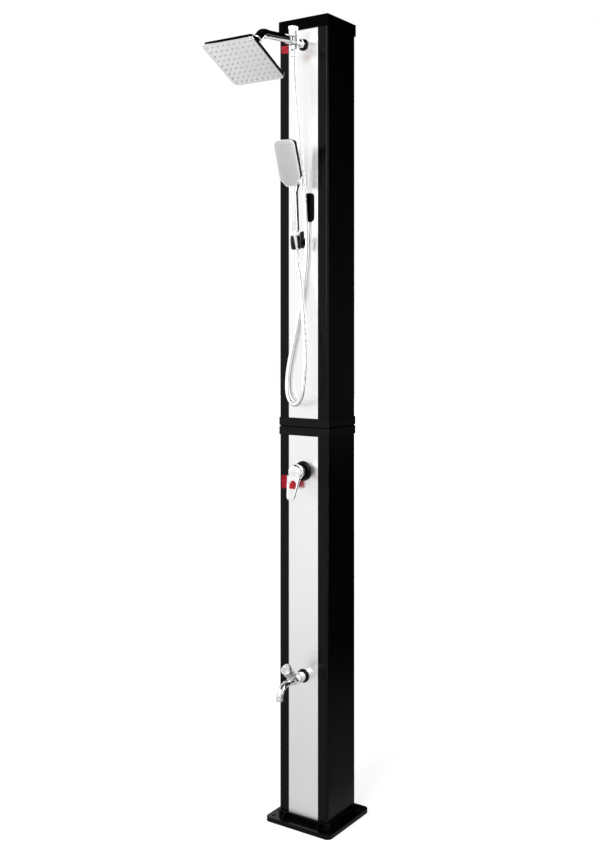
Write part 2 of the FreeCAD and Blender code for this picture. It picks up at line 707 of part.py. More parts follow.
def make_supply():
    """The rear inlet, its block, the pipes inside the tanks, the tee and the drain plug."""
    height = dim.inlet_height
    block_front = inner_rear - 30
    fitting = turned("inlet_turning", [
        (dim.inlet_bore, -15), (INLET_SHANK, -15), (INLET_SHANK, 0), (13, 0), (13, 8.5),
        (dim.inlet_radius, 8.5), (dim.inlet_radius, 8.5 + dim.inlet_length),
        (dim.inlet_bore, 8.5 + dim.inlet_length)], 0, rear, height, "back")
    collar = cut("inlet_hex_ring", hexagon("inlet_hex", 27, 8, 0, rear, height, "back"),
                 rod("inlet_hex_bore", 12, 20, 0, rear - 5, height, "back"))
    keep("inlet_fitting", fuse("inlet_fitting_solid", fitting, collar))
    block = box("inlet_block", (-18, 18), (block_front, inner_rear), (height - 16, height + 16))
    keep("inlet_manifold", cut(
        "inlet_manifold_solid", block,
        rod("inlet_thread", INLET_SHANK, 13, 0, inner_rear - 12, height, "back"),
        rod("inlet_through", 5, 31, 0, block_front - 1, height, "back"),
        rod("inlet_riser", dim.pipe_bore, 20, 0, dim.supply_y, height)))
    tee_half = 16
    keep("cold_pipe_lower", straight_tube("cold_lower", 0, dim.supply_y,
                                          (height + 16, dim.tap_height - tee_half)))
    tee = box("tee_block", (-15, 15), (dim.supply_y - 15, dim.supply_y + 15),
              (dim.tap_height - tee_half, dim.tap_height + tee_half))
    keep("supply_tee", cut(
        "supply_tee_solid", tee,
        rod("tee_bore", dim.pipe_bore, 40, 0, dim.supply_y, dim.tap_height - 20),
        rod("tee_branch", dim.pipe_bore, 20, 0, dim.supply_y, dim.tap_height, "front")))
    branch_length = dim.supply_y - 15 - (inner_front + TAP_TAIL)
    branch = [rod(f"branch_{part}", radius, branch_length, 0, dim.supply_y - 15, dim.tap_height,
                  "front") for part, radius in (("outside", dim.pipe_radius), ("bore", dim.pipe_bore))]
    keep("tap_branch_pipe", cut("tap_branch_solid", *branch))
    mixer_z = float(dim.mixer_height)
    supply_y = float(dim.supply_y)
    keep("cold_pipe_upper", tube("cold_upper", [
        (0, supply_y, float(dim.tap_height) + tee_half), (0, supply_y, mixer_z),
        (0, MIXER_BLOCK_REAR, mixer_z)], dim.pipe_radius, dim.pipe_bore, widest=35))
    keep("hot_pipe", straight_tube("hot_riser", dim.riser_x, dim.riser_y,
                                   (dim.mixer_height + MIXER_BLOCK_HALF, RISER_TOP)))
    riser_x, riser_y, valve_z = (float(size) for size in (dim.riser_x, dim.riser_y,
                                                         dim.diverter_height))
    keep("mixed_pipe", tube("mixed_riser", [
        (-riser_x, riser_y, mixer_z + MIXER_BLOCK_HALF), (-riser_x, riser_y, valve_z - 100),
        (-riser_x / 2, riser_y / 2, valve_z - 60), (0, riser_y / 3, valve_z - 25),
        (0, riser_y / 2, valve_z), (0, float(inner_front) + VALVE_TAIL, valve_z)],
        dim.pipe_radius, dim.pipe_bore, widest=25))
    stem = rod("drain_stem", DRAIN_SHANK, 14, DRAIN_X, rear - 14, dim.drain_height, "back")
    head = hexagon("drain_hex", 22, 7, DRAIN_X, rear, dim.drain_height, "back")
    keep("drain_plug", fuse("drain_plug_solid", stem, head))


# ---------------------------------------------------------------- rosettes and valve bodies

TAP_TAIL = 12
VALVE_TAIL = 15
MIXER_BLOCK_REAR = -29
MIXER_BLOCK_HALF = 15
ROSETTE_THICK = 6.3


def rosette(name, radius, height, bore, thick):
    """A domed cover plate round a fitting."""
    band = radius - bore
    profile = [(bore, 0), (radius, 0), (radius, 1.5), (radius - 0.1 * band, thick * 0.55),
               (radius - 0.4 * band, thick * 0.88), (bore + 0.25 * band, thick), (bore, thick)]
    return keep(name, turned(name + "_turning", profile, 0, panel_face, height, "front"))


def make_diverter():
    """The diverter valve: rosette, body, spindle and knob."""
    height = dim.diverter_height
    rosette("diverter_rosette", 15.75, height, VALVE_SHANK, ROSETTE_THICK)
    axis = front - dim.valve_out
    tail = as_size(float(dim.wall) + VALVE_TAIL)
    stub = turned("valve_stub", [
        (0, -tail), (VALVE_SHANK, -tail), (VALVE_SHANK, 22), (7.5, 23), (7.5, 26), (8.5, 28),
        (8.5, dim.valve_out), (0, dim.valve_out)], 0, front, height, "front")
    nut = hexagon("valve_nut", 22, 12, 0, front - 9, height, "front")
    barrel = turned("valve_barrel", [
        (0, -19), (8, -19), (8, -11), (10, -11), (dim.valve_radius, -8.5),
        (dim.valve_radius, 6.5), (dim.valve_radius - 1.5, 8.5), (0, 8.5)], 0, axis, height)
    outlet = turned("valve_outlet", [
        (0, 0), (8.8, 0), (8.8, 14.5), (12, 15.5), (12.6, 17), (12.6, 23.5), (12, 25), (0, 25)],
        0, axis, height, "front")
    solid = fuse("diverter_solid", stub, nut, barrel, outlet)
    keep("diverter_body", cut(
        "diverter_body_solid", solid,
        rod("valve_inlet_bore", 5.5, tail + dim.valve_out, 0, front + tail, height, "front"),
        rod("valve_down_bore", 5, 20, 0, axis, height, "down"),
        rod("valve_spindle_bore", 4.05, 20, 0, axis, height - 4),
        rod("valve_arm_bore", 5.5, 26, 0, axis, height, "front")))
    keep("diverter_spindle", rod("spindle", 4, 22, 0, axis, height - 3.5))
    foot = height + 9.5
    knob = turned("knob_turning", [
        (0, 0), (dim.knob_radius - 1.5, 0), (dim.knob_radius - 0.5, 1), (dim.knob_radius - 1.7, 10),
        (dim.knob_radius - 1.9, 17), (dim.knob_radius - 1.0, 25), (dim.knob_radius, dim.knob_height - 1.5),
        (dim.knob_radius - 1.2, dim.knob_height), (dim.knob_radius - 4, dim.knob_height),
        (0, dim.knob_height - 2.5)], 0, axis, foot)
    keep("diverter_knob", cut("diverter_knob_solid", knob,
                              rod("knob_socket", 4, 9, 0, axis, foot)))


# ---------------------------------------------------------------- arm and rain head

def arm_points():
    """The arm's start, the end of its level run, the elbow's corner and the arm's end."""
    start = float(front - dim.valve_out) - 25
    level_end = start - 10
    corner = float(front - dim.arm_reach)
    height = float(dim.diverter_height)
    fall = (level_end - corner) * math.tan(math.radians(float(dim.arm_sag)))
    drop = math.radians(float(dim.arm_drop))
    outlet = float(dim.arm_outlet)
    end = (0, corner - outlet * math.cos(drop), height - fall - outlet * math.sin(drop))
    return [(0, start, height), (0, level_end, height), (0, corner, height - fall), end]


def ball_centre():
    """Centre of the head's ball joint."""
    corner = Vector(*arm_points()[2])
    drop = math.radians(float(dim.arm_drop))
    return corner + Vector(0, -math.cos(drop), -math.sin(drop)) * float(dim.ball_reach)


def make_arm():
    """The arm with its thicker elbow, and the stud whose ball carries the head."""
    points = arm_points()
    path, _ = rounded_path(points, float(dim.arm_bend))
    outer = swept(path, float(dim.arm_radius))
    level_end, corner, end = (Vector(*point) for point in points[1:])
    down = (end - corner).normalize()
    along = (level_end - corner).normalize()
    elbow_path, _ = rounded_path([corner + along * 26, corner, corner + down * 34],
                                 float(dim.arm_bend))
    elbow = swept(elbow_path, float(dim.arm_radius) + 1.8)
    bore = swept(path, float(dim.arm_bore))
    keep("shower_arm", fixed_shape("arm", outer.fuse(elbow).cut(bore)))
    lean = Rotation(Vector(0, 0, 1), down)
    stud = Part.makeCylinder(float(dim.arm_bore), 12, Vector(0, 0, -12))
    nut = chamfered_rod(13, 16, 1.5)
    to_ball = float(dim.ball_reach - dim.arm_outlet)
    neck = Part.makeCylinder(5.5, to_ball)
    ball = Part.makeSphere(float(dim.ball_radius), Vector(0, 0, to_ball))
    water_way = Part.makeCylinder(3, to_ball + 32, Vector(0, 0, -13))
    shape = stud.multiFuse([nut, neck, ball]).cut(water_way)
    keep("head_ball_stud", fixed_shape("ball_stud", shape, Placement(end, lean)))


def head_placement():
    """The head's own frame: origin at the ball's centre, local +Z away from the spray face."""
    return Placement(ball_centre(), Rotation(Vector(1, 0, 0), -float(dim.head_tilt)))


def make_rain_head():
    """The retaining nut, shell, spray face and nozzles of the rain head."""
    face = -float(dim.ball_above_face)
    side = float(dim.head_side)
    thick = float(dim.head_thick)
    back = face + thick
    spot = head_placement()
    socket = float(dim.ball_radius) + 0.3
    nut = turned_shape([(0, back + 3), (15.5, back + 3), (17, back + 4.5), (17, back + 11),
                        (15, 0), (12.5, 12.5), (0, 12.5)])
    opening = Part.makeCone(8.4, 12.3, 10, Vector(0, 0, 4.5))
    nut = nut.cut(Part.makeSphere(socket)).cut(opening)
    nut = nut.cut(Part.makeCylinder(11.5, -8 - back, Vector(0, 0, back)))
    keep("ball_retaining_nut", fixed_shape("ball_nut", nut, spot))
    corner = float(dim.head_round)
    shell = rounded_plate(side, side, corner, face, back)
    shell = shell.makeChamfer(1.2, [edge for edge in shell.Edges
                                    if abs(edge.BoundBox.ZMin - back) < 0.01
                                    and abs(edge.BoundBox.ZMax - back) < 0.01])
    boss = Part.makeCone(24, 16, 3, Vector(0, 0, back))
    spigot = Part.makeCylinder(11.2, 4.5, Vector(0, 0, back))
    shell = shell.multiFuse([boss, spigot])
    chamber = rounded_plate(side - 14, side - 14, 3, face + 1.6, back - 2.4)
    recess = rounded_plate(side - 6, side - 6, corner - 3, face - 1, face + 1.6)
    shell = shell.cut(chamber).cut(recess).cut(Part.makeCylinder(6, 40, Vector(0, 0, face)))
    keep("rain_head_shell", fixed_shape("head_shell", shell, spot))
    count = int(sheet.get("rain_rows"))
    pitch = float(dim.rain_pitch)
    grid = [(pitch * (column - (count - 1) / 2), pitch * (row_number - (count - 1) / 2))
            for column in range(count) for row_number in range(count)]
    plate = rounded_plate(side - 6, side - 6, corner - 3, face, face + 1.6)
    make_spray("rain_head", plate, grid, face, 1.6, 2.6, spot)


def make_spray(owner, plate, grid, face, thick, stand, spot):
    """A spray face with a nozzle in each hole of the grid; the nozzles stand out below it."""
    radius = 1.9
    nozzle = turned_shape([(0.6, face + thick), (radius, face + thick), (radius, face),
                           (1.4, face - stand), (0.6, face - stand)])
    hole = Part.makeCylinder(radius, thick + 2, Vector(0, 0, face - 1))
    holes = [hole.translated(Vector(x, y, 0)) for x, y in grid]
    face_solid = plate.cut(Part.makeCompound(holes))
    keep(owner + "_face", fixed_shape(owner + "_plate", face_solid, spot))
    nozzles = [nozzle.translated(Vector(x, y, 0)) for x, y in grid]
    keep(owner + "_nozzles", fixed_shape(owner + "_jets", Part.makeCompound(nozzles), spot))


def chamfered_rod(radius, length, chamfer):
    """A rod along Z with both ends chamfered."""
    solid = Part.makeCylinder(radius, length)
    return solid.makeChamfer(chamfer, [edge for edge in solid.Edges if len(edge.Vertexes) == 1])


def turned_shape(profile):
    """A solid of (radius, height) corners about the Z axis."""
    points = [Vector(radius, 0, height) for radius, height in profile]
    face = Part.Face(Part.makePolygon(points + points[:1]))
    return face.revolve(Vector(), Vector(0, 0, 1), 360)


def rounded_plate(width, depth, radius, low, high):
    """A plate with rounded corners about the Z axis."""
    plate = Part.makeBox(width, depth, high - low, Vector(-width / 2, -depth / 2, low))
    upright = [edge for edge in plate.Edges if edge.BoundBox.ZLength > (high - low) / 2]
    return plate.makeFillet(radius, upright)


# ---------------------------------------------------------------- hand shower, holder and hose

CONE_TAPER = 38
GRIP_DEPTH = 0.8


def hand_placement():
    """The hand shower's own frame: origin at the cone nut's lower end, +Z up the handle."""
    origin = Vector(0, float(front - dim.hand_out), float(dim.holder_height))
    return Placement(origin, Rotation(Vector(1, 0, 0), float(dim.hand_lean)))


def square_ring(side, radius, height, forward=0.0, width=None):
    """A wire round a rounded rectangle at one height; forward moves it towards the front."""
    width = side if width is None else width
    half_w, half_d = width / 2, side / 2
    reach = radius * (1 - math.sqrt(0.5))
    points = []
    edges = []
    for turn_x, turn_y in ((1, 1), (-1, 1), (-1, -1), (1, -1)):
        corner = Vector(turn_x * half_w, turn_y * half_d, 0)
        along_x = Vector(corner.x - turn_x * radius, corner.y, 0)
        along_y = Vector(corner.x, corner.y - turn_y * radius, 0)
        middle = Vector(corner.x - turn_x * reach, corner.y - turn_y * reach, 0)
        first, last = (along_y, along_x) if turn_x * turn_y > 0 else (along_x, along_y)
        points.append((first, middle, last))
    for number, (first, middle, last) in enumerate(points):
        following = points[(number + 1) % 4][0]
        edges.append(Part.Arc(first, middle, last).toShape())
        edges.append(Part.LineSegment(last, following).toShape())
    wire = Part.Wire(edges)
    wire.translate(Vector(0, -forward, height))
    return wire


def spray_outline(inset):
    """Outline of the hand shower's head: rounded top, straight sides, tapered chin."""
    half = float(dim.spray_width) / 2 - inset
    top = float(dim.spray_length) - inset
    chin = 15 - inset * 0.7
    shoulder = 22.0
    arc = 16 - inset
    reach = arc * (1 - math.sqrt(0.5))
    left = [Vector(-half, shoulder, 0), Vector(-chin, inset, 0)]
    right = [Vector(chin, inset, 0), Vector(half, shoulder, 0)]
    return Part.Wire([
        Part.LineSegment(left[0], left[1]).toShape(),
        Part.LineSegment(left[1], right[0]).toShape(),
        Part.LineSegment(right[0], right[1]).toShape(),
        Part.LineSegment(right[1], Vector(half, top - arc, 0)).toShape(),
        Part.Arc(Vector(half, top - arc, 0), Vector(half - reach, top - reach, 0),
                 Vector(half - arc, top, 0)).toShape(),
        Part.LineSegment(Vector(half - arc, top, 0), Vector(arc - half, top, 0)).toShape(),
        Part.Arc(Vector(arc - half, top, 0), Vector(reach - half, top - reach, 0),
                 Vector(-half, top - arc, 0)).toShape(),
        Part.LineSegment(Vector(-half, top - arc, 0), left[0]).toShape(),
    ])


def make_hand_shower():
    """The hand shower with its handle, head, spray face and nozzles."""
    spot = hand_placement()
    bottom = float(dim.cone_length)
    low, high = float(dim.grip_low), float(dim.grip_high)
    neck = bottom + float(dim.grip_length)
    chin_height = 167.0
    head_thick = float(dim.spray_thick)
    chin = Vector(0, -7.0, chin_height)
    tilt = Rotation(Vector(1, 0, 0), 90 + float(dim.spray_lean))
    head_spot = Placement(chin, tilt)
    head = Part.Face(spray_outline(0)).extrude(Vector(0, 0, -head_thick))
    rear_edges = [edge for edge in head.Edges if edge.BoundBox.ZMax < -head_thick + 0.01]
    head = head.makeChamfer(1.5, rear_edges)
    pocket = Part.Face(spray_outline(2.2)).extrude(Vector(0, 0, -1.6))
    head = head.cut(pocket)
    head.Placement = head_spot
    top_ring = square_ring(high * GRIP_DEPTH, 6, neck, width=high)
    grip = Part.makeLoft([square_ring(low * GRIP_DEPTH, 5, bottom, width=low), top_ring], True, True)
    throat = Part.makeLoft([top_ring,
                            square_ring(18, 7, chin_height + 3, -2, 29),
                            square_ring(7, 3, chin_height + 28, 6.5, 40)], True, True)
    handle = grip.fuse(throat)
    face_side = Part.makeBox(120, 220, 60, Vector(-60, 0, -1.6))
    face_side.Placement = head_spot
    handle = handle.cut(face_side)
    body = handle.fuse(head).cut(Part.makeCylinder(5, 90, Vector(0, 0, bottom - 1)))
    keep("handset_body", fixed_shape("handset_shell", body.removeSplitter(), spot))
    plate = Part.Face(spray_outline(2.2)).extrude(Vector(0, 0, -1.6))
    pitch = float(dim.hand_pitch)
    half = float(dim.spray_width) / 2 - 7
    grid = []
    for row_number in range(16):
        up = 12 + row_number * pitch
        width = half if up > 32 else half - (32 - up) * 0.75
        columns = int(width // pitch)
        grid += [(pitch * column, up) for column in range(-columns, columns + 1)
                 if up < float(dim.spray_length) - 7]
    spray_spot = spot.multiply(head_spot)
    radius = 1.25
    nozzle = turned_shape([(0.5, -1.6), (radius, -1.6), (radius, 0), (0.9, 0.9), (0.5, 0.9)])
    hole = Part.makeCylinder(radius, 3, Vector(0, 0, -2))
    face = plate.cut(Part.makeCompound([hole.translated(Vector(x, y, 0)) for x, y in grid]))
    keep("handset_face", fixed_shape("handset_plate", face, spray_spot))
    jets = Part.makeCompound([nozzle.translated(Vector(x, y, 0)) for x, y in grid])
    keep("handset_nozzles", fixed_shape("handset_jets", jets, spray_spot))
    cone = turned_shape([
        (3, 0), (float(dim.cone_low) - 0.8, 0), (float(dim.cone_low), 0.8),
        (float(dim.cone_high), CONE_TAPER), (float(dim.cone_high), bottom - 1),
        (float(dim.cone_high) - 1, bottom), (3, bottom)])
    keep("hose_cone_nut", fixed_shape("cone_nut", cone, spot))


def make_holder():
    """The bracket on the panel and the cone clip that carries the hand shower."""
    spot = hand_placement()
    radius = float(dim.clip_radius)
    low = 1.0
    high = low + float(dim.clip_height)
    outside = turned_shape([(0, low), (radius - 2.6, low), (radius - 0.6, low + 6),
                            (radius, low + 15), (radius, high - 10), (radius - 1, high - 2),
                            (radius - 1.6, high), (0, high)])
    slope = (float(dim.cone_high) - float(dim.cone_low)) / CONE_TAPER
    bore_low = float(dim.cone_low) + 0.35
    bore = turned_shape([(0, 0), (bore_low, 0), (bore_low + slope * (high + 2), high + 2),
                         (0, high + 2)])
    slot_width = float(dim.clip_slot)
    slot = Part.makeBox(slot_width, 40, high + 40, Vector(-slot_width / 2, -40, -20))
    slot.rotate(Vector(0, 0, (low + high) / 2), Vector(0, 1, 0), -float(dim.clip_slant))
    slot.rotate(Vector(), Vector(0, 0, 1), float(dim.clip_turn))
    keep("holder_clip", fixed_shape("clip", outside.cut(bore).cut(slot), spot))
    middle = dim.holder_height + 21
    plate = rounded("bracket_plate", 18, 45, 6, (0, 4.2), top_round=1.2)
    place(plate, 0, panel_face, dim.holder_height + 28.5, "front")
    arm = box("bracket_arm", (-7, 7), (front - 27, front - 2), (middle - 10, middle + 10))
    neck = cut("bracket_neck", arm, fixed_shape("clip_outside", outside, spot))
    keep("holder_bracket", fuse("bracket_solid", plate, neck))


HOSE_ROUTE = [
    # x, distance in front of the column, height
    (0, 47, 2054), (0, 47, 2010), (4.8, 44.5, 1948), (6, 35.5, 1869), (9, 22.8, 1785),
    (13, 14, 1700), (16.5, 10.8, 1622), (17.3, 8.6, 1549), (11, 7.9, 1476), (-3, 8, 1396),
    (-21, 8.2, 1317), (-38, 8.4, 1250), (-46.5, 8.4, 1200), (-45.6, 9.3, 1163.5),
    (-35.7, 14.3, 1144.2), (-18.4, 23, 1133), (1.4, 33, 1133), (18.7, 41.7, 1144.2),
    (28.6, 46.7, 1163.5), (33.5, 48, 1200), (36, 45.5, 1259), (29, 40, 1337), (18.5, 33.5, 1413),
    (8, 29.5, 1478),
]


def hose_points():
    """The hose's route in the part's frame, ending square on the cone nut."""
    points = [(x, float(front) - out, z) for x, out, z in HOSE_ROUTE]
    last_run = hand_placement().multVec(Vector(0, 0, -32))
    end = hand_placement().Base
    return points + [tuple(last_run), tuple(end)]


def make_hose():
    """The hose from the diverter's outlet nut to the hand shower's cone nut."""
    axis = front - dim.valve_out
    top = dim.diverter_height - 11
    nut = turned("top_nut_turning", [
        (0, 0), (8, 0), (8.6, 1.5), (9.6, 14), (11.2, 20), (11.2, 29.5), (10.2, 32), (0, 32)],
        0, axis, top - 32)
    keep("hose_top_nut", cut("top_nut_solid", nut,
                             rod("top_nut_bore", dim.hose_bore, 34, 0, axis, top - 33),
                             rod("top_nut_thread", 8, 9, 0, axis, top - 8)))
    keep("shower_hose", tube("hose", hose_points(), dim.hose_radius, dim.hose_bore))


# ---------------------------------------------------------------- display, mixer, foot tap and tags

def make_display():
    """The upright display on the upper panel: its case and its window."""
    width, length, corner = dim.display_width, dim.display_length, dim.display_round
    case = rounded("display_case", width, length, corner, (0, dim.display_thick), top_round=1.2)
    place(case, dim.display_x, panel_face, dim.display_height, "front")
    window = rounded("display_window", width - 8, length - 8, corner - 4, (0, 1.2))
    place(window, dim.display_x, panel_face - dim.display_thick + 1.2, dim.display_height, "front")
    keep("display_frame", cut("display_frame_solid", case, window))
    keep("display_glass", window)


def make_mixer():
    """The mixer: rosette, body with its water block, cartridge, rotor, stem, lever and screw."""
    height = dim.mixer_height
    pivot = float(dim.mixer_pivot)
    rosette("mixer_rosette", 26.5, height, MIXER_SHANK, ROSETTE_THICK)
    outside = turned("mixer_turning", [
        (0, -6), (MIXER_SHANK, -6), (MIXER_SHANK, 6), (20, 6), (21, 7), (21, 11.5), (20, 13),
        (14.5, 13.5), (14.5, 30), (0, 30)], 0, front, height, "front")
    block = box("mixer_block", (-34, 34), (front + 6, MIXER_BLOCK_REAR),
                (height - MIXER_BLOCK_HALF, height + MIXER_BLOCK_HALF))
    cavity = rod("mixer_cavity", 12.5, 27, 0, front - 4, height, "front")
    ports = [rod("mixer_cold_inlet", dim.pipe_bore, 22, 0, MIXER_BLOCK_REAR + 1, height, "front"),
             *cartridge_ports("mixer", MIXER_BLOCK_REAR - 16, 32)]
    for side in (-1, 1):
        ports.append(rod(f"mixer_riser_port_{side}", dim.pipe_bore, 17, side * dim.riser_x,
                         dim.riser_y, height))
        ports.append(box(f"mixer_gallery_{side}", sorted_pair(side * 6.8, side * 24),
                         (MIXER_BLOCK_REAR - 17, MIXER_BLOCK_REAR - 7), (height - 4, height + 4)))
    solid = fuse("mixer_solid", outside, block)
    keep("mixer_body", cut("mixer_body_solid", solid, cavity, *ports))
    disc = turned("cartridge_turning", [(0, 4), (12.5, 4), (12.5, 14), (11.5, 15.6), (0, 15.6)],
                  0, front, height, "front")
    keep("mixer_cartridge", cut("cartridge_solid", disc,
                                *cartridge_ports("cartridge", front - 3, 14)))
    rotor = turned("rotor_turning", [(0, 16), (12.2, 16), (12.2, 29.5), (0, 29.5)], 0, front, height,
                   "front")
    slot = box("rotor_slot", (-4.3, 4.3), (front - 31, front - 19), (height - 13, height + 13))
    hole = rod("rotor_pin_hole", 1.55, 30, -15, front - pivot, height, "right")
    keep("cartridge_rotor", cut("rotor_solid", rotor, slot, hole))
    stem = rod("stem_rod", 4, 44 - 21.5, 0, front - 21.5, height, "front")
    pin = rod("stem_pin", 1.5, 23, -11.5, front - pivot, height, "right")
    keep("mixer_stem", fuse("stem_solid", stem, pin))
    make_lever(pivot)


def sorted_pair(first, second):
    """The two numbers, the smaller one first."""
    return (first, second) if first < second else (second, first)


def cartridge_ports(owner, start, length):
    """Three small holes towards the front: hot, mixed and cold."""
    spots = ((8, 1), (-8, 1), (0, -4))
    return [rod(f"{owner}_port_{number}", 2.2, length, x, start, dim.mixer_height + up, "front")
            for number, (x, up) in enumerate(spots)]


def lever_placement():
    """The lever plate's own frame: origin on the mixer axis, -Y down the lever, +Z outwards."""
    origin = Vector(0, float(front) - 41, float(dim.mixer_height))
    return Placement(origin, Rotation(Vector(1, 0, 0), 90 - float(dim.lever_slope)))


def make_lever(pivot):
    """The loop lever with its dome, and the grub screw that holds it on the stem."""
    radius = float(dim.lever_radius)
    spot = lever_placement()
    thick = float(dim.lever_thick)
    dome = turned_shape([(0, 30), (radius - 1, 30), (radius, 31), (radius, 38), (radius - 1.6, 41.5),
                         (radius - 5, 44.6), (radius - 11, 46.4), (0, 47)])
    dome.Placement = Placement(Vector(0, float(front), float(dim.mixer_height)), FACINGS["front"])
    outline = tangent_outline(radius, float(dim.lever_end), float(dim.lever_length))
    plate = Part.Face(outline).extrude(Vector(0, 0, thick))
    window = Part.Face(tangent_outline(9, 6.5, 31)).extrude(Vector(0, 0, 40))
    plate.Placement = spot.multiply(Placement(Vector(0, 0, -thick / 2), Rotation()))
    window.Placement = spot.multiply(Placement(Vector(0, -31, -20), Rotation()))
    level = float(dim.mixer_height)
    forward = Vector(0, -1, 0)
    centre = Vector(0, float(front) - pivot, level)
    cavity = Part.makeSphere(15.5, centre)
    behind = Part.makeBox(80, 40, 160, Vector(-40, float(front) - 30, level - 120))
    boss = Part.makeCylinder(8, 8, centre + forward * 8, forward)
    socket = Part.makeCylinder(4, 44, Vector(0, float(front), level), forward)
    grip_point = Vector(0, float(front) - 38, level - 4)
    screw_way = Vector(0, -1, -1).normalize()
    screw_hole = Part.makeCylinder(2, 22, grip_point, screw_way)
    lever = dome.fuse(plate.cut(behind)).cut(window).cut(cavity).fuse(boss)
    lever = lever.cut(socket).cut(screw_hole)
    keep("mixer_lever", fixed_shape("lever", lever.removeSplitter()))
    screw = Part.makeCylinder(2, 10, grip_point, screw_way)
    recess = Part.makeCylinder(1, 3, grip_point + screw_way * 7.5, screw_way)
    tip = Part.makeCylinder(4, 20, Vector(0, float(front) - 30, level), forward)
    keep("lever_grub_screw", fixed_shape("grub_screw", screw.cut(recess).cut(tip)))


def hex_rod(across_flats, low, high):
    """A hexagonal rod along Z between two heights."""
    corner = across_flats / 3 ** 0.5
    turns = [math.radians(60 * number) for number in range(7)]
    outline = [Vector(corner * math.cos(turn), corner * math.sin(turn), low) for turn in turns]
    return Part.Face(Part.makePolygon(outline)).extrude(Vector(0, 0, high - low))


def headgear_placement():
    """The tap's inclined axis: origin at the tap's centre, +Z out through the knob."""
    origin = Vector(0, float(front - dim.tap_out), float(dim.tap_height))
    return Placement(origin, Rotation(Vector(1, 0, 0), 90 - float(dim.tap_incline)))


def make_foot_tap():
    """The foot tap: rosette, body with its inclined headgear, spout, spindle and knob."""
    height = dim.tap_height
    rosette("tap_rosette", 18.2, height, TAP_SHANK, ROSETTE_THICK)
    spot = headgear_placement()
    tail = as_size(float(dim.wall) + TAP_TAIL)
    run_end = 64
    tube_radius = dim.spout_radius
    neck = turned("tap_neck", [
        (0, -tail), (8, -tail), (8, -4), (TAP_SHANK, -4), (TAP_SHANK, 20), (10, 21), (10, 25),
        (TAP_SHANK, 26), (TAP_SHANK, 50), (tube_radius, 51), (tube_radius, run_end), (0, run_end)],
        0, front, height, "front")
    barrel = hexagon("tap_barrel", 20, 22, 0, front - 28, height, "front")
    back = float(dim.tap_knob_face - dim.tap_knob_length)
    bonnet = turned_shape([(0, 0), (8.5, 0), (8.5, back - 4), (7.5, back - 2.5), (0, back - 2.5)])
    bonnet = bonnet.fuse(hex_rod(19, 13, 23))
    solid = fuse("tap_solid", neck, barrel, fixed_shape("tap_headgear", bonnet, spot))
    spindle_bore = Part.makeCylinder(4.05, back, Vector(0, 0, 6))
    keep("tap_body", cut(
        "tap_body_solid", solid,
        rod("tap_bore", 5, tail + run_end + 1, 0, front + tail, height, "front"),
        fixed_shape("tap_spindle_bore", spindle_bore, spot)))
    make_spout(float(front) - run_end, float(height))
    keep("tap_spindle", fixed_shape("tap_stem", Part.makeCylinder(4, back, Vector(0, 0, 8)), spot))
    keep("tap_handle", fixed_shape("tap_knob", tap_knob(back, back + float(dim.tap_knob_length)), spot))


def make_spout(start, level):
    """The spout that bends down from the front end of the tap's body."""
    end = float(front - dim.spout_reach)
    bend = float(dim.spout_bend)
    radius = float(dim.spout_radius)
    reach = bend * (1 - math.sqrt(0.5))
    outlet = Vector(0, end, level - float(dim.spout_drop))
    first, last = Vector(0, end + bend, level), Vector(0, end, level - bend)
    path = Part.Wire([
        Part.LineSegment(Vector(0, start + 2, level), first).toShape(),
        Part.Arc(first, Vector(0, end + reach, level - reach), last).toShape(),
        Part.LineSegment(last, outlet).toShape()])
    ring_start = Part.makeCylinder(radius + 1, 6, Vector(0, start, level), Vector(0, -1, 0))
    tip = chamfered_rod(radius + 0.4, 8, 0.6).translated(outlet)
    behind = Part.makeBox(40, 10, 40, Vector(-20, start, level - 20))
    spout = swept(path, radius).multiFuse([ring_start, tip]).cut(swept(path, radius - 2.2))
    keep("tap_spout", fixed_shape("spout", spout.cut(behind)))


def tap_knob(back, face):
    """The tap's knob between two heights: ring and dimple in its face, grooves down its side."""
    radius = float(dim.tap_knob_radius)
    knob = turned_shape([
        (0, back), (radius - 2.6, back), (radius - 1.8, back + 1), (radius - 0.4, face - 6),
        (radius, face - 4.5), (radius, face - 1.2), (radius - 1.2, face), (10.2, face),
        (9.6, face - 0.8), (9, face), (2, face), (2, face - 2.2), (0, face - 2.2)])
    groove = Part.makeCylinder(2, face - 6 - back, Vector(radius + 0.8, 0, back - 1))
    grooves = [groove.rotated(Vector(), Vector(0, 0, 1), 30 + 60 * number) for number in range(6)]
    return knob.cut(Part.makeCompound(grooves)).cut(Part.makeCylinder(4, 8.1, Vector(0, 0, back)))


def make_tags():
    """Two blank hang tags, each with an eye round its fitting."""
    thick = 0.9
    eye = Part.makeCylinder(16.2, thick)
    card = rounded_plate(54, 35, 3, 0, thick).translated(Vector(-33, -31, 0))
    corner = rounded_plate(10, 10, 1, 0, thick).translated(Vector(-11, -13, 0))
    mixer_tag = eye.multiFuse([card, corner]).cut(Part.makeCylinder(14.8, 4, Vector(0, 0, -1)))
    mixer_tag.Placement = Placement(
        Vector(0, float(front) - 15, float(dim.mixer_height)), FACINGS["front"])
    loop = Part.makeCylinder(12.6, thick)
    tongue = rounded_plate(8, 8, 1, 0, thick).translated(Vector(-15, 0, 0))
    strip = rounded_plate(19, 20, 2.5, 0, thick)
    turn = Rotation(Vector(0, 0, 1), 25).multiply(FACINGS["front"])
    strip.Placement = Placement(Vector(-23.6, -4, thick - 10), turn)
    valve_tag = loop.multiFuse([tongue, strip]).cut(Part.makeCylinder(10.6, 4, Vector(0, 0, -1)))
    valve_tag.translate(Vector(0, float(front - dim.valve_out), float(dim.diverter_height) - 11.7))
    keep("hang_tags", fixed_shape("tags", Part.makeCompound([mixer_tag, valve_tag])))


# ---------------------------------------------------------------- build, test and export

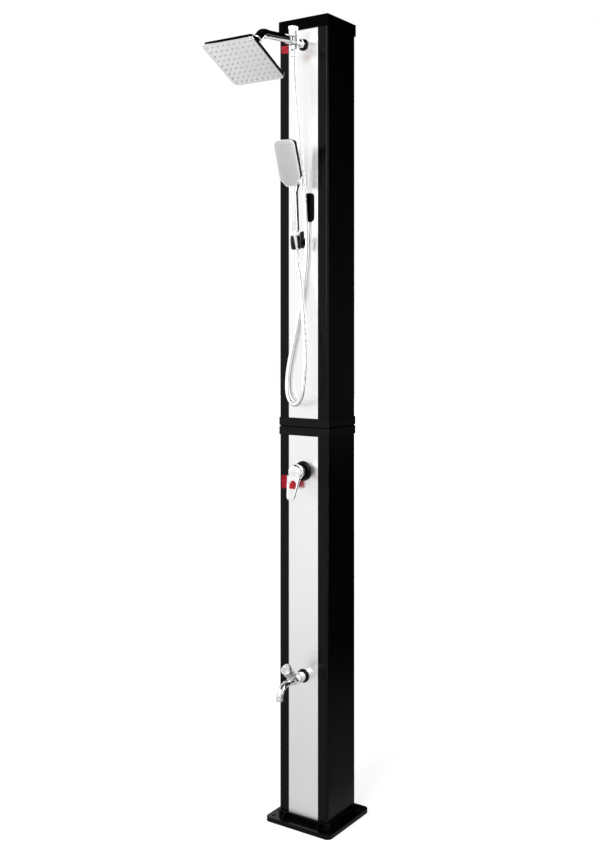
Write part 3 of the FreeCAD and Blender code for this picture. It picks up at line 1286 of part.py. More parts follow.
make_base()
make_column()
make_plugs()
make_supply()
make_diverter()
make_arm()
make_rain_head()
make_hand_shower()
make_holder()
make_hose()
make_display()
make_mixer()
make_foot_tap()
make_tags()
doc.recompute()

for obj in doc.Objects:
    if "Invalid" in obj.State or "Error" in obj.State:
        raise RuntimeError(f"{obj.Label} did not rebuild: {obj.State}")
for obj in NODES:
    shape = obj.Shape
    if shape.isNull() or not shape.isValid() or not shape.Solids:
        raise RuntimeError(f"{obj.Label} has no valid solid")
    print(f"{obj.Label}: {len(shape.Solids)} solid(s), {shape.Volume / 1000:.1f} cm3")
for obj in NODES:
    obj.Shape.exportStep(os.path.join("parts", obj.Label + ".step"))
print(f"{len(NODES)} nodes")
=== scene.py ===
"""Outdoor shower post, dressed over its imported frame.

Sizes in the classes are millimetres. A finished mesh is in metres, in the frame's axes: X to the
right of a bather who faces the post, -Y towards the bather, Z up from the floor.
"""

import logging
import math
from dataclasses import dataclass
from typing import Callable, Iterable, Sequence

import bmesh
import bpy
from mathutils import Matrix, Vector


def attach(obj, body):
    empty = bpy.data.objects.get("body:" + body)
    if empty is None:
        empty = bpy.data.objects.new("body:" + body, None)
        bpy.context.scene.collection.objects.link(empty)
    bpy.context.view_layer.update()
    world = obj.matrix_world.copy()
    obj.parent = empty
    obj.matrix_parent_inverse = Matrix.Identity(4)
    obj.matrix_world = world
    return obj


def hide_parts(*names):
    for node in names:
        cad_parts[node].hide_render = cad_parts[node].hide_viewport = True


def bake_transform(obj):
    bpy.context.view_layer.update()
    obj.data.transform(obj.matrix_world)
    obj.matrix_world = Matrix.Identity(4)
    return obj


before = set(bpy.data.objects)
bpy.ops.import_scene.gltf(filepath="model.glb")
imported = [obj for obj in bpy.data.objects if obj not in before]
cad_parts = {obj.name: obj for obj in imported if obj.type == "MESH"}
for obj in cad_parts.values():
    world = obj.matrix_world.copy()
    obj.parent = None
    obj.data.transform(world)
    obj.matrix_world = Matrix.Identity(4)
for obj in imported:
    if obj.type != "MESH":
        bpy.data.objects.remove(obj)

LOG = logging.getLogger("shower_post")
MM = 0.001
FRONT = -70.0
SUNK = -0.3
WHITE = (1.0, 1.0, 1.0, 1.0)

Point = tuple[float, float]
Colour = tuple[float, float, float]


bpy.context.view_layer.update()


# ---------------------------------------------------------------- shader writing


class Wire:
    """A node output that takes part in Python arithmetic."""

    def __init__(self, recipe: "Recipe", socket: bpy.types.NodeSocket) -> None:
        """Hold a socket together with the recipe that its tree belongs to."""
        self.recipe = recipe
        self.socket = socket

    def _with(self, operation: str, first: "Wire | float", second: "Wire | float") -> "Wire":
        """One Math node.

        Args:
            operation: The node's operation.
            first: Left operand.
            second: Right operand.

        Returns:
            The node's result.
        """
        settings = {"operation": operation}
        return Wire(self.recipe, self.recipe.node(
            "ShaderNodeMath", settings, {0: first, 1: second}).outputs[0])

    def __add__(self, other: "Wire | float") -> "Wire":
        """Sum."""
        return self._with("ADD", self, other)

    def __radd__(self, other: float) -> "Wire":
        """Sum, reflected."""
        return self._with("ADD", other, self)

    def __sub__(self, other: "Wire | float") -> "Wire":
        """Difference."""
        return self._with("SUBTRACT", self, other)

    def __rsub__(self, other: float) -> "Wire":
        """Difference, reflected."""
        return self._with("SUBTRACT", other, self)

    def __mul__(self, other: "Wire | float") -> "Wire":
        """Product."""
        return self._with("MULTIPLY", self, other)

    def between(self, low: float, high: float) -> "Wire":
        """Rise smoothly from 0 at low to 1 at high.

        Args:
            low: Value that gives 0.
            high: Value that gives 1.

        Returns:
            The smoothed mask.
        """
        node = self.recipe.node(
            "ShaderNodeMapRange", {"interpolation_type": "SMOOTHSTEP"},
            {"Value": self, "From Min": low, "From Max": high, "To Min": 0.0, "To Max": 1.0})
        return Wire(self.recipe, node.outputs[0])


class Recipe:
    """A material or world node tree while it is being written."""

    def __init__(self, owner: bpy.types.Material | bpy.types.World) -> None:
        """Empty the owner's tree.

        Args:
            owner: The material or world.
        """
        owner.use_nodes = True
        self.tree = owner.node_tree
        self.tree.nodes.clear()
        self._place = None

    def node(self, kind: str, settings: dict | None = None,
             sockets: dict | None = None) -> bpy.types.Node:
        """Make any node.

        Args:
            kind: The node's type.
            settings: Properties, set first; "stops" fills a colour ramp.
            sockets: Input values, wires or other nodes' sockets, by name or number.

        Returns:
            The new node.
        """
        made = self.tree.nodes.new(kind)
        for name, value in (settings or {}).items():
            if name == "stops":
                self._fill_ramp(made.color_ramp, value)
            else:
                setattr(made, name, value)
        for name, value in (sockets or {}).items():
            source = value.socket if isinstance(value, Wire) else value
            if isinstance(source, bpy.types.NodeSocket):
                self.tree.links.new(source, made.inputs[name])
            else:
                made.inputs[name].default_value = source
        return made

    @staticmethod
    def _fill_ramp(ramp: bpy.types.ColorRamp, stops: Sequence[tuple[float, float]]) -> None:
        """Set a ramp's stops as greys.

        Args:
            ramp: The ramp.
            stops: Positions with their grey values.
        """
        while len(ramp.elements) < len(stops):
            ramp.elements.new(0.5)
        for element, (position, grey) in zip(ramp.elements, stops):
            element.position = position
            element.color = (grey, grey, grey, 1.0)

    def wire(self, kind: str, settings: dict | None = None, sockets: dict | None = None,
             output: int | str = 0) -> Wire:
        """Make a node and take one of its outputs.

        Args:
            kind: The node's type.
            settings: The node's properties.
            sockets: The node's input values and links.
            output: The output's number or name.

        Returns:
            The output as a wire.
        """
        return Wire(self, self.node(kind, settings, sockets).outputs[output])

    def place(self, scale: Sequence[float] = (1.0, 1.0, 1.0)) -> Wire:
        """Object coordinates in metres, stretched by a Mapping node.

        Args:
            scale: Factor along each axis.

        Returns:
            The coordinates.
        """
        if self._place is None:
            self._place = self.wire("ShaderNodeTexCoord", output="Object")
        return self.wire("ShaderNodeMapping", {}, {"Vector": self._place, "Scale": scale})

    def noise(self, scale: float, detail: float = 3.0,
              stretch: Sequence[float] = (1.0, 1.0, 1.0)) -> Wire:
        """Noise from 0 to 1 over the object.

        Args:
            scale: Grains to the metre.
            detail: Octaves.
            stretch: Factor of the grain's rate along each axis.

        Returns:
            The noise value.
        """
        return self.wire("ShaderNodeTexNoise", {},
                         {"Vector": self.place(stretch), "Scale": scale, "Detail": detail})

    def blend(self, factor: Wire | float, low: Colour | Wire, high: Colour) -> Wire:
        """A colour between two.

        Args:
            factor: Share of the second colour.
            low: First colour, or the wire that gives it.
            high: Second colour.

        Returns:
            The mixed colour.
        """
        first = low if isinstance(low, Wire) else (*low, 1.0)
        return self.wire("ShaderNodeMix", {"data_type": "RGBA"},
                         {0: factor, 6: first, 7: (*high, 1.0)}, 2)

    def bump(self, height: Wire, strength: float, distance: float) -> Wire:
        """A bumped normal.

        Args:
            height: Height wire.
            strength: Share of the bump that shows.
            distance: Depth in metres.

        Returns:
            The normal.
        """
        return self.wire("ShaderNodeBump", {},
                         {"Height": height, "Strength": strength, "Distance": distance})

    def surface(self, sockets: dict) -> None:
        """End the tree in a Principled shader.

        Args:
            sockets: The shader's values and links.
        """
        shader = self.node("ShaderNodeBsdfPrincipled", {}, sockets)
        self.node("ShaderNodeOutputMaterial", {}, {"Surface": shader.outputs[0]})


# ---------------------------------------------------------------- finishes


@dataclass(frozen=True)
class Finish:
    """A finish with its colour and gloss; subclasses add what grows on its surface."""

    name: str
    colour: Colour
    roughness: float

    def make(self) -> bpy.types.Material:
        """Build the material.

        Returns:
            The material.
        """
        material = bpy.data.materials.new(self.name)
        self.write(Recipe(material))
        return material

    def write(self, recipe: Recipe) -> None:
        """Write the nodes; each finish has its own.

        Args:
            recipe: The empty tree.
        """
        raise NotImplementedError


def shade(colour: Colour, factor: float) -> Colour:
    """The colour times a factor."""
    return (colour[0] * factor, colour[1] * factor, colour[2] * factor)


@dataclass(frozen=True)
class PowderCoat(Finish):
    """Fine-textured powder coat on the extruded column and the castings."""

    gloss: float = 0.25
    grain: float = 1500.0
    depth: float = 0.00004

    def write(self, recipe: Recipe) -> None:
        """Grainy, faintly uneven coat.

        Args:
            recipe: The empty tree.
        """
        grain = recipe.noise(self.grain, 4.0)
        cloud = recipe.noise(9.0, 3.0)
        drawn = recipe.noise(420.0, 2.0, (1.0, 1.0, 0.004))
        recipe.surface({
            "Base Color": recipe.blend(cloud.between(0.3, 0.7), self.colour,
                                       shade(self.colour, 1.35)),
            "Roughness": self.roughness + (cloud - 0.5) * 0.10 + (grain - 0.5) * 0.12,
            "Specular IOR Level": self.gloss,
            "Normal": recipe.bump(grain * 0.8 + drawn * 0.4, 0.35, self.depth),
        })


@dataclass(frozen=True)
class BrushedSheet(Finish):
    """Clear-anodised aluminium sheet, brushed along its length."""

    def write(self, recipe: Recipe) -> None:
        """Long fine strokes over a slow unevenness.

        Args:
            recipe: The empty tree.
        """
        fine = recipe.noise(2600.0, 2.0, (1.0, 1.0, 0.006))
        coarse = recipe.noise(620.0, 2.0, (1.0, 1.0, 0.012))
        cloud = recipe.noise(5.0, 2.0, (1.0, 1.0, 0.35))
        recipe.surface({
            "Base Color": recipe.blend(coarse.between(0.25, 0.75), shade(self.colour, 0.985),
                                       self.colour),
            "Metallic": 1.0,
            "Roughness": self.roughness + (fine - 0.5) * 0.07 + (cloud - 0.5) * 0.05,
            "Normal": recipe.bump(fine * 0.6 + coarse * 0.4, 0.10, 0.00003),
        })


@dataclass(frozen=True)
class Plated(Finish):
    """Bright plating over cast brass or moulded plastic."""

    ripple: float = 0.05

    def write(self, recipe: Recipe) -> None:
        """Mirror with faint water marks and the slow ripple of polished castings.

        Args:
            recipe: The empty tree.
        """
        marks = recipe.noise(75.0, 5.0)
        slow = recipe.noise(38.0, 1.0)
        spots = marks.between(0.56, 0.74)
        recipe.surface({
            "Base Color": recipe.blend(spots, self.colour, shade(self.colour, 0.96)),
            "Metallic": 1.0,
            "Roughness": self.roughness + spots * 0.05,
            "Normal": recipe.bump(slow, self.ripple, 0.0004),
        })


@dataclass(frozen=True)
class Moulded(Finish):
    """Moulded plastic or rubber, with a faint mould texture."""

    gloss: float = 0.5
    grain: float = 900.0
    texture: float = 0.12

    def write(self, recipe: Recipe) -> None:
        """Fine texture with a slow change of gloss.

        Args:
            recipe: The empty tree.
        """
        grain = recipe.noise(self.grain, 3.0)
        cloud = recipe.noise(24.0, 2.0)
        recipe.surface({
            "Base Color": recipe.blend(cloud.between(0.35, 0.65), shade(self.colour, 0.92),
                                       self.colour),
            "Roughness": self.roughness + (cloud - 0.5) * 0.08 + (grain - 0.5) * 0.05,
            "Specular IOR Level": self.gloss,
            "Normal": recipe.bump(grain, self.texture, 0.00005),
        })


@dataclass(frozen=True)
class TurnedMetal(Finish):
    """Plain machined metal with tool marks."""

    def write(self, recipe: Recipe) -> None:
        """Tool marks and a dull patch here and there.

        Args:
            recipe: The empty tree.
        """
        marks = recipe.noise(1300.0, 2.0, (1.0, 1.0, 6.0))
        cloud = recipe.noise(60.0, 4.0)
        recipe.surface({
            "Base Color": recipe.blend(cloud.between(0.4, 0.75), self.colour,
                                       shade(self.colour, 0.8)),
            "Metallic": 1.0,
            "Roughness": self.roughness + (cloud - 0.5) * 0.15 + (marks - 0.5) * 0.08,
            "Normal": recipe.bump(marks, 0.15, 0.00005),
        })


@dataclass(frozen=True)
class PrintedCard(Finish):
    """Coated red card of the hang tags, with the clear loops that hold them."""

    loop: Colour = (0.42, 0.42, 0.42)
    # Painted shade: the darker red of the tag's curled left edge, and the X span over which it fades in.
    painted_curl_shade: Colour = (0.36, 0.003, 0.022)
    loop_side: Point = (-0.0152, -0.0148)
    loop_foot: Point = (0.9393, 0.9400)
    painted_curl_shade_span: Point = (-0.052, -0.034)

    def write(self, recipe: Recipe) -> None:
        """Red print with painted shade that darkens it towards the curled left edge, with fibre grain;
        the loops are colourless.

        Args:
            recipe: The empty tree.
        """
        fibre = recipe.noise(700.0, 4.0)
        scuff = recipe.noise(110.0, 5.0).between(0.60, 0.78)
        spot = recipe.node("ShaderNodeSeparateXYZ", {}, {0: recipe.place()})
        across, up = Wire(recipe, spot.outputs["X"]), Wire(recipe, spot.outputs["Z"])
        loops = across.between(*self.loop_side) * up.between(*self.loop_foot)
        # Painted shade: the print turns to a darker red towards the tag's left edge, where it curls
        # away; the scuffs mixed in are real wear.
        flat = across.between(*self.painted_curl_shade_span)
        print_and_painted_shade = recipe.blend(flat * 0.85 + scuff * 0.15, self.painted_curl_shade, self.colour)
        recipe.surface({
            "Base Color": recipe.blend(loops, print_and_painted_shade, self.loop),
            "Roughness": self.roughness + (fibre - 0.5) * 0.15,
            "Specular IOR Level": 0.16,
            "Coat Weight": scuff * 0.12,
            "Coat Roughness": 0.08,
            "Normal": recipe.bump(recipe.noise(70.0, 1.0) + fibre * 0.01, 0.8, 0.006),
        })


FINISHES: dict[str, Finish] = {
    "black_profile": PowderCoat("black_profile", (0.0015, 0.0014, 0.0016), 0.17, gloss=0.13),
    "black_gloss": Moulded("black_gloss", (0.0014, 0.0014, 0.0015), 0.13, gloss=0.16, texture=0.04),
    "silver_panel": BrushedSheet("silver_panel", (0.955, 0.955, 0.95), 0.30),
    "chrome": Plated("chrome", (0.93, 0.93, 0.935), 0.035),
    "brass": TurnedMetal("brass", (0.72, 0.52, 0.24), 0.30),
    "steel": TurnedMetal("steel", (0.10, 0.10, 0.105), 0.34),
    "rubber": Moulded("rubber", (0.002, 0.002, 0.002), 0.60, gloss=0.04, texture=0.3),
    "pipe": Moulded("pipe", (0.62, 0.63, 0.62), 0.42),
    "grey_nozzle": Moulded("grey_nozzle", (0.62, 0.63, 0.64), 0.55, texture=0.2),
    "spray_plate": Plated("spray_plate", (0.99, 0.99, 0.99), 0.30, ripple=0.02),
    "tap_chrome": Plated("tap_chrome", (0.74, 0.74, 0.73), 0.13),
    "hose_silver": Plated("hose_silver", (0.90, 0.90, 0.905), 0.15, ripple=0.02),
    "dark_glass": Moulded("dark_glass", (0.001, 0.001, 0.0012), 0.07, gloss=0.04, texture=0.0),
    "deep_black": Moulded("deep_black", (0.0012, 0.0012, 0.0013), 0.12, gloss=0.02, texture=0.04),
    "matt_black": Moulded("matt_black", (0.001, 0.001, 0.001), 0.35, gloss=0.04),
    "hand_plate": Plated("hand_plate", (0.62, 0.625, 0.63), 0.32, ripple=0.02),
    "tag_red": PrintedCard("tag_red", (0.66, 0.030, 0.044), 0.40),
}


OTHER_FINISH: dict[str, str] = {"mixer_body": "matt_black", "top_cap": "deep_black",
                                "base_screws": "black_gloss"}


class Wardrobe:
    """The materials by the record's slot names, and the dress of the carried-over nodes."""

    def __init__(self) -> None:
        """Build every finish once."""
        self.materials = {name: finish.make() for name, finish in FINISHES.items()}

    def dress_nodes(self) -> None:
        """Give each node of the frame the material of its own slot."""
        for name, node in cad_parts.items():
            for number, slot in enumerate(node.material_slots):
                wanted = slot.material.name.split(".")[0] if slot.material else ""
                wanted = OTHER_FINISH.get(name, wanted)
                chosen = self.materials.get(wanted)
                if chosen is None:
                    LOG.warning("%s has no finish for %s", name, wanted)
                    continue
                node.material_slots[number].material = chosen
        LOG.info("dressed %d nodes", len(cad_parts))

    def break_edges(self, widths: dict[str, float]) -> None:
        """Round the sharp edges of carried-over nodes a little.

        Args:
            widths: Bevel width in metres for each node.
        """
        for name, width in widths.items():
            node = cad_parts[name]
            weld = node.modifiers.new("weld", "WELD")
            weld.merge_threshold = 0.00001
            bevel = node.modifiers.new("edges", "BEVEL")
            bevel.width = width
            bevel.segments = 2
            bevel.limit_method = "ANGLE"
            bevel.angle_limit = math.radians(50.0)
            bevel.harden_normals = True
            LOG.info("%s: edges broken by %.2f mm", name, width / MM)


# ---------------------------------------------------------------- studio


@dataclass
class Studio:
    """Camera, soft lights, white surroundings and the pale floor."""

    eye: tuple[float, float, float] = (1.6101, -2.4563, 1.3503)
    azimuth: float = 34.18
    focal_pixels: float = 1071.9
    frame_height: float = 853.0
    horizon_rise: float = 103.54
    ambient: float = 0.42
    aim: tuple[float, float, float] = (0.0, -0.05, 1.15)

    def build(self) -> None:
        """Set up everything that isn't the object."""
        bpy.context.scene.view_settings.view_transform = "Standard"
        self.camera()
        self.surroundings()
        self.floor()
        self.soft_light("key_light", -84.0, 3.4, 2.6, (1.8, 2.6), 62.0)
        self.soft_light("fill_light", -170.0, 3.6, 2.0, (1.6, 2.4), 16.0)
        self.card("back_card", 94.0, 8.0, (9.6, 10.0), 5.0, 0.10)
        self.card("right_card", 33.0, 8.0, (9.8, 10.0), 5.0, 0.10)
        self.card("left_card", 163.0, 6.0, (1.9, 3.5), 1.75, 0.0)
        self.card("front_strip", -20.0, 3.2, (0.20, 3.4), 1.7, 0.0)
        self.card("edge_strip", 15.0, 3.0, (0.20, 2.8), 1.3, 12.0, even=True)
        self.ceiling_card("ceiling_card", 4.7, 5.4)

    def camera(self) -> None:
        """The photograph's camera, level, with its frame shifted down."""
        data = bpy.data.cameras.new("photo_camera")
        data.sensor_width = 36.0
        data.lens = 36.0 * self.focal_pixels / self.frame_height
        data.shift_y = -self.horizon_rise / self.frame_height
        data.clip_end = 60.0
        camera = bpy.data.objects.new("photo_camera", data)
        camera.location = self.eye
        camera.rotation_euler = (math.pi / 2, 0.0, math.radians(self.azimuth))
        bpy.context.scene.collection.objects.link(camera)
        bpy.context.scene.camera = camera

    def _seen_as_white(self, recipe: Recipe) -> Wire:
        """1 for camera, glossy and transmission rays, 0 for those that light the object.

        Args:
            recipe: The tree that asks.

        Returns:
            The mask.
        """
        path = recipe.node("ShaderNodeLightPath")
        camera = Wire(recipe, path.outputs["Is Camera Ray"])
        glossy = Wire(recipe, path.outputs["Is Glossy Ray"])
        through = Wire(recipe, path.outputs["Is Transmission Ray"])
        return (camera + glossy + through).between(0.0, 1.0)

    def surroundings(self) -> None:
        """White to the eye and in reflections, plain grey as a light."""
        world = bpy.data.worlds.new("studio_world")
        bpy.context.scene.world = world
        recipe = Recipe(world)
        white = self._seen_as_white(recipe)
        backdrop = recipe.node("ShaderNodeBackground", {}, {
            "Color": WHITE, "Strength": white * (1.0 - self.ambient) + self.ambient})
        recipe.node("ShaderNodeOutputWorld", {}, {"Surface": backdrop.outputs[0]})

    def floor(self) -> None:
        """A wide pale floor that keeps the shadow and is white to the eye away from it."""
        floor = self._sheet("studio_floor", (28.0, 28.0), Matrix.Identity(4))
        recipe = Recipe(floor.active_material)
        path = recipe.node("ShaderNodeLightPath")
        direct = Wire(recipe, path.outputs["Is Camera Ray"])
        glossy = Wire(recipe, path.outputs["Is Glossy Ray"])
        reach = recipe.wire("ShaderNodeVectorMath", {"operation": "LENGTH"},
                            {0: recipe.place()}, "Value")
        to_the_eye = reach.between(2.0, 7.0) * 0.38 + 0.62
        in_mirrors = reach.between(0.6, 5.5) * 0.42 + 0.12
        glow = direct * to_the_eye + glossy * in_mirrors
        matt = recipe.node("ShaderNodeBsdfDiffuse", {}, {"Color": (0.80, 0.80, 0.80, 1.0)})
        light = recipe.node("ShaderNodeEmission", {}, {"Color": WHITE, "Strength": glow})
        both = recipe.node("ShaderNodeAddShader", {}, {0: matt.outputs[0], 1: light.outputs[0]})
        spot = recipe.node("ShaderNodeSeparateXYZ", {}, {0: recipe.place()})
        behind = (Wire(recipe, spot.outputs["X"]).between(0.0, 0.25)
                  * Wire(recipe, spot.outputs["Y"]).between(-0.12, 0.2))
        unlit = recipe.node("ShaderNodeBsdfDiffuse", {}, {"Color": (0.02, 0.02, 0.02, 1.0)})
        dark = reach.between(0.1, 1.8) * 0.34 + 0.66
        seen = recipe.node("ShaderNodeMixShader", {}, {
            0: glossy * behind * dark, 1: both.outputs[0], 2: unlit.outputs[0]})
        recipe.node("ShaderNodeOutputMaterial", {}, {"Surface": seen.outputs[0]})

    def _around(self, bearing: float, distance: float, height: float) -> Vector:
        """A place by its bearing from the post, its distance and its height.

        Args:
            bearing: Direction from the post, in degrees from +X.
            distance: Metres from the post's axis.
            height: Metres above the floor.

        Returns:
            The place.
        """
        angle = math.radians(bearing)
        return Vector((distance * math.cos(angle), distance * math.sin(angle), height))

    def soft_light(self, name: str, bearing: float, distance: float, height: float,
                   size: tuple[float, float], power: float) -> None:
        """A rectangular soft light that faces the post.

        Args:
            name: The light's name.
            bearing: Direction from the post, in degrees from +X.
            distance: Metres from the post's axis.
            height: Metres above the floor.
            size: Width and height in metres.
            power: Watts.
        """
        data = bpy.data.lights.new(name, "AREA")
        data.shape = "RECTANGLE"
        data.size, data.size_y = size
        data.energy = power
        lamp = bpy.data.objects.new(name, data)
        lamp.location = self._around(bearing, distance, height)
        heading = Vector(self.aim) - lamp.location
        lamp.rotation_euler = heading.to_track_quat("-Z", "Y").to_euler()
        bpy.context.scene.collection.objects.link(lamp)

    @staticmethod
    def _sheet(name: str, size: tuple[float, float], turn: Matrix) -> bpy.types.Object:
        """A flat sheet with a material of its own, still to be written.

        Args:
            name: Name of the sheet and its material.
            size: Width and height in metres.
            turn: Where it lies.

        Returns:
            The sheet.
        """
        shape = bmesh.new()
        bmesh.ops.create_grid(shape, x_segments=1, y_segments=1, size=0.5)
        bmesh.ops.scale(shape, vec=(size[0], size[1], 1.0), verts=shape.verts)
        bmesh.ops.transform(shape, matrix=turn, verts=shape.verts)
        mesh = bpy.data.meshes.new(name)
        shape.to_mesh(mesh)
        shape.free()
        mesh.materials.append(bpy.data.materials.new(name))
        sheet = bpy.data.objects.new(name, mesh)
        bpy.context.scene.collection.objects.link(sheet)
        return sheet

    def _stand(self, name: str, size: tuple[float, float], turn: Matrix, glow: float,
               even: bool = True) -> None:
        """A card that only reflections see.

        Args:
            name: The card's name.
            size: Width and height in metres.
            turn: Where it stands.
            glow: Brightness, at the floor where it isn't even.
            even: Whether it is as bright at its top as at its foot.
        """
        card = self._sheet(name, size, turn)
        recipe = Recipe(card.active_material)
        up = recipe.node("ShaderNodeSeparateXYZ", {}, {0: recipe.place()}).outputs["Z"]
        fading = 1.0 - Wire(recipe, up).between(0.0, 4.5)
        light = recipe.node("ShaderNodeEmission", {}, {
            "Color": WHITE, "Strength": glow if even else fading * glow})
        recipe.node("ShaderNodeOutputMaterial", {}, {"Surface": light.outputs[0]})
        card.visible_camera = False
        card.visible_diffuse = False
        card.visible_transmission = False
        card.visible_shadow = False

    def card(self, name: str, bearing: float, distance: float, size: tuple[float, float],
             height: float, glow: float, even: bool = False) -> None:
        """A standing card that faces the post.

        Args:
            name: The card's name.
            bearing: Direction from the post, in degrees from +X.
            distance: Metres from the post's axis.
            size: Width and height in metres.
            height: Height of the card's middle.
            glow: Brightness, at the floor where it isn't even.
            even: Whether it is as bright at its top as at its foot.
        """
        turn = (Matrix.Translation(self._around(bearing, distance, height))
                @ Matrix.Rotation(math.radians(bearing - 90.0), 4, "Z")
                @ Matrix.Rotation(math.radians(90.0), 4, "X"))
        self._stand(name, size, turn, glow, even)

    def ceiling_card(self, name: str, height: float, side: float) -> None:
        """A dark ceiling over the post."""
        self._stand(name, (side, side), Matrix.Translation((0.0, 0.0, height)), 0.004)


# ---------------------------------------------------------------- shaping


class Shape:
    """A mesh while it is shaped, in millimetres."""

    def __init__(self) -> None:
        """Start with an empty mesh."""
        self.bm = bmesh.new()

    @classmethod
    def lathe(cls, profile: Sequence[Point], steps: int = 48, closed: bool = False) -> "Shape":
        """Spin a profile about Z.

        Args:
            profile: Corners as (radius, height).
            steps: Sides of the turned shape.
            closed: Whether the last corner joins the first, as in a ring.

        Returns:
            The turned shape.
        """
        shape = cls()
        bm = shape.bm
        verts = [bm.verts.new((radius, 0.0, height)) for radius, height in profile]
        ends = verts[1:] + verts[:1] if closed else verts[1:]
        edges = [bm.edges.new(pair) for pair in zip(verts, ends)]
        bmesh.ops.spin(bm, geom=verts + edges, cent=(0, 0, 0), axis=(0, 0, 1),
                       angle=2 * math.pi, steps=steps, use_merge=True)
        return shape.weld()

    @classmethod
    def prism(cls, sides: int, flats: float, low: float, high: float) -> "Shape":
        """An upright prism with a corner on +X.

        Args:
            sides: Number of sides.
            flats: Width across the flats.
            low: Lower end.
            high: Upper end.

        Returns:
            The prism.
        """
        radius = flats / 2 / math.cos(math.pi / sides)
        turns = [2 * math.pi * number / sides for number in range(sides)]
        return cls.plate([(radius * math.cos(turn), radius * math.sin(turn)) for turn in turns],
                         low, high)

    @classmethod
    def plate(cls, corners: Sequence[Point], low: float, high: float) -> "Shape":
        """A flat plate of any outline.

        Args:
            corners: The outline, in order.
            low: Lower face.
            high: Upper face.

        Returns:
            The plate.
        """
        shape = cls()
        face = shape.bm.faces.new([shape.bm.verts.new((x, y, low)) for x, y in corners])
        shape.raise_faces([face], high - low)
        return shape.outward()

    @classmethod
    def frame_plate(cls, outer: Sequence[Point], inner: Sequence[Point], low: float,
                    high: float) -> "Shape":
        """A flat plate with a window.

        Args:
            outer: The outline.
            inner: The window's outline, with as many corners.
            low: Lower face.
            high: Upper face.

        Returns:
            The plate.
        """
        rows = [[Vector((x, y, level)) for x, y in outline]
                for outline, level in ((outer, low), (outer, high), (inner, high), (inner, low))]
        return cls._skin(rows + rows[:1]).weld()

    @classmethod
    def _skin(cls, rings: Sequence[Sequence[Vector]]) -> "Shape":
        """Faces between closed rings that have equal numbers of places.

        Args:
            rings: The rings, from one end to the other.

        Returns:
            The open skin.
        """
        shape = cls()
        bm = shape.bm
        rows = [[bm.verts.new(place) for place in ring] for ring in rings]
        for row, following in zip(rows, rows[1:]):
            for number, vert in enumerate(row):
                after = (number + 1) % len(row)
                bm.faces.new((vert, row[after], following[after], following[number]))
        return shape

    @classmethod
    def loft(cls, rings: Sequence[Sequence[Vector]]) -> "Shape":
        """A solid over closed rings that have equal numbers of places.

        Args:
            rings: The rings, from one end to the other.

        Returns:
            The solid.
        """
        shape = cls._skin(rings)
        shape.bm.verts.ensure_lookup_table()
        count = len(rings[0])
        shape.bm.faces.new(shape.bm.verts[:count])
        shape.bm.faces.new(shape.bm.verts[-count:])
        return shape.outward()

    @classmethod
    def bar(cls, line: Sequence[Vector], radius: float, lip: float, steps: int = 40) -> "Shape":
        """A round bar along a line in the plane X = 0, its ends chamfered.

        Args:
            line: The bar's axis.
            radius: The bar's radius.
            lip: Chamfer at both ends.
            steps: Sides of the bar.

        Returns:
            The bar.
        """
        first = (line[1] - line[0]).normalized()
        last = (line[-1] - line[-2]).normalized()
        stations = [(line[0], first, radius - lip), (line[0] + first * lip, first, radius)]
        stations += [(place, (after - before).normalized(), radius)
                     for before, place, after in zip(line, line[1:], line[2:])]
        stations += [(line[-1] - last * lip, last, radius), (line[-1], last, radius - lip)]
        across = Vector((1.0, 0.0, 0.0))
        rings = []
        for place, heading, reach in stations:
            other = heading.cross(across)
            turns = [2 * math.pi * number / steps for number in range(steps)]
            rings.append([place + (across * math.cos(turn) + other * math.sin(turn)) * reach
                          for turn in turns])
        return cls.loft(rings)

    @classmethod
    def clip(cls, section: Sequence[Point], gap: float, slant: float, steps: int = 40) -> "Shape":
        """A turned ring with an opening on -Y.

        Args:
            section: Corners of the ring's section as (radius, height).
            gap: The opening's angle in degrees.
            slant: Turn of the opening in degrees for each millimetre of height.
            steps: Faces round the ring.

        Returns:
            The open ring.
        """
        middle = sum(height for _, height in section) / len(section)
        rings = []
        for number in range(steps + 1):
            turn = -90.0 + gap / 2 + (360.0 - gap) * number / steps
            ring = []
            for radius, height in section:
                angle = math.radians(turn + slant * (height - middle))
                ring.append(Vector((radius * math.cos(angle), radius * math.sin(angle), height)))
            rings.append(ring)
        return cls.loft(rings)

    def pocket(self, level: float, margin: float, depth: float) -> "Shape":
        """Sink the flat face at one height inside a margin.

        Args:
            level: Height of the face.
            margin: Rim that stays.
            depth: Depth of the pocket.

        Returns:
            The shape.
        """
        chosen = [face for face in self.bm.faces if abs(face.normal.z) > 0.99
                  and all(abs(vert.co.z - level) < 0.001 for vert in face.verts)]
        bmesh.ops.inset_region(self.bm, faces=chosen, thickness=margin, depth=0.0,
                               use_even_offset=True)
        bmesh.ops.inset_region(self.bm, faces=chosen, thickness=0.05, depth=-depth,
                               use_even_offset=True)
        return self

    def trim(self, level: float) -> "Shape":
        """Cut away what lies above a level of Y and close the cut.

        Args:
            level: The Y at which it is cut.

        Returns:
            The shape.
        """
        cut = bmesh.ops.bisect_plane(
            self.bm, geom=[*self.bm.verts, *self.bm.edges, *self.bm.faces],
            plane_co=(0.0, level, 0.0), plane_no=(0.0, 1.0, 0.0), clear_outer=True)
        edges = [item for item in cut["geom_cut"] if isinstance(item, bmesh.types.BMEdge)]
        bmesh.ops.holes_fill(self.bm, edges=edges)
        return self.outward()

    def flute(self, low: float, high: float, count: int, depth: float,
              share: float = 0.5) -> "Shape":
        """Press upright grooves into the side of a turned shape.

        Args:
            low: Lower end of the grooves.
            high: Upper end of the grooves.
            count: Number of grooves.
            depth: Depth of a groove.
            share: Part of the side that is groove.

        Returns:
            The shape.
        """
        for vert in self.bm.verts:
            radius = vert.co.xy.length
            if not low <= vert.co.z <= high or radius < depth * 2:
                continue
            turn = math.atan2(vert.co.y, vert.co.x) * count / (2 * math.pi)
            off = min(abs(turn - round(turn)) * 2 / share, 1.0)
            press = depth * math.cos(off * math.pi / 2) ** 2
            vert.co.x *= 1 - press / radius
            vert.co.y *= 1 - press / radius
        return self

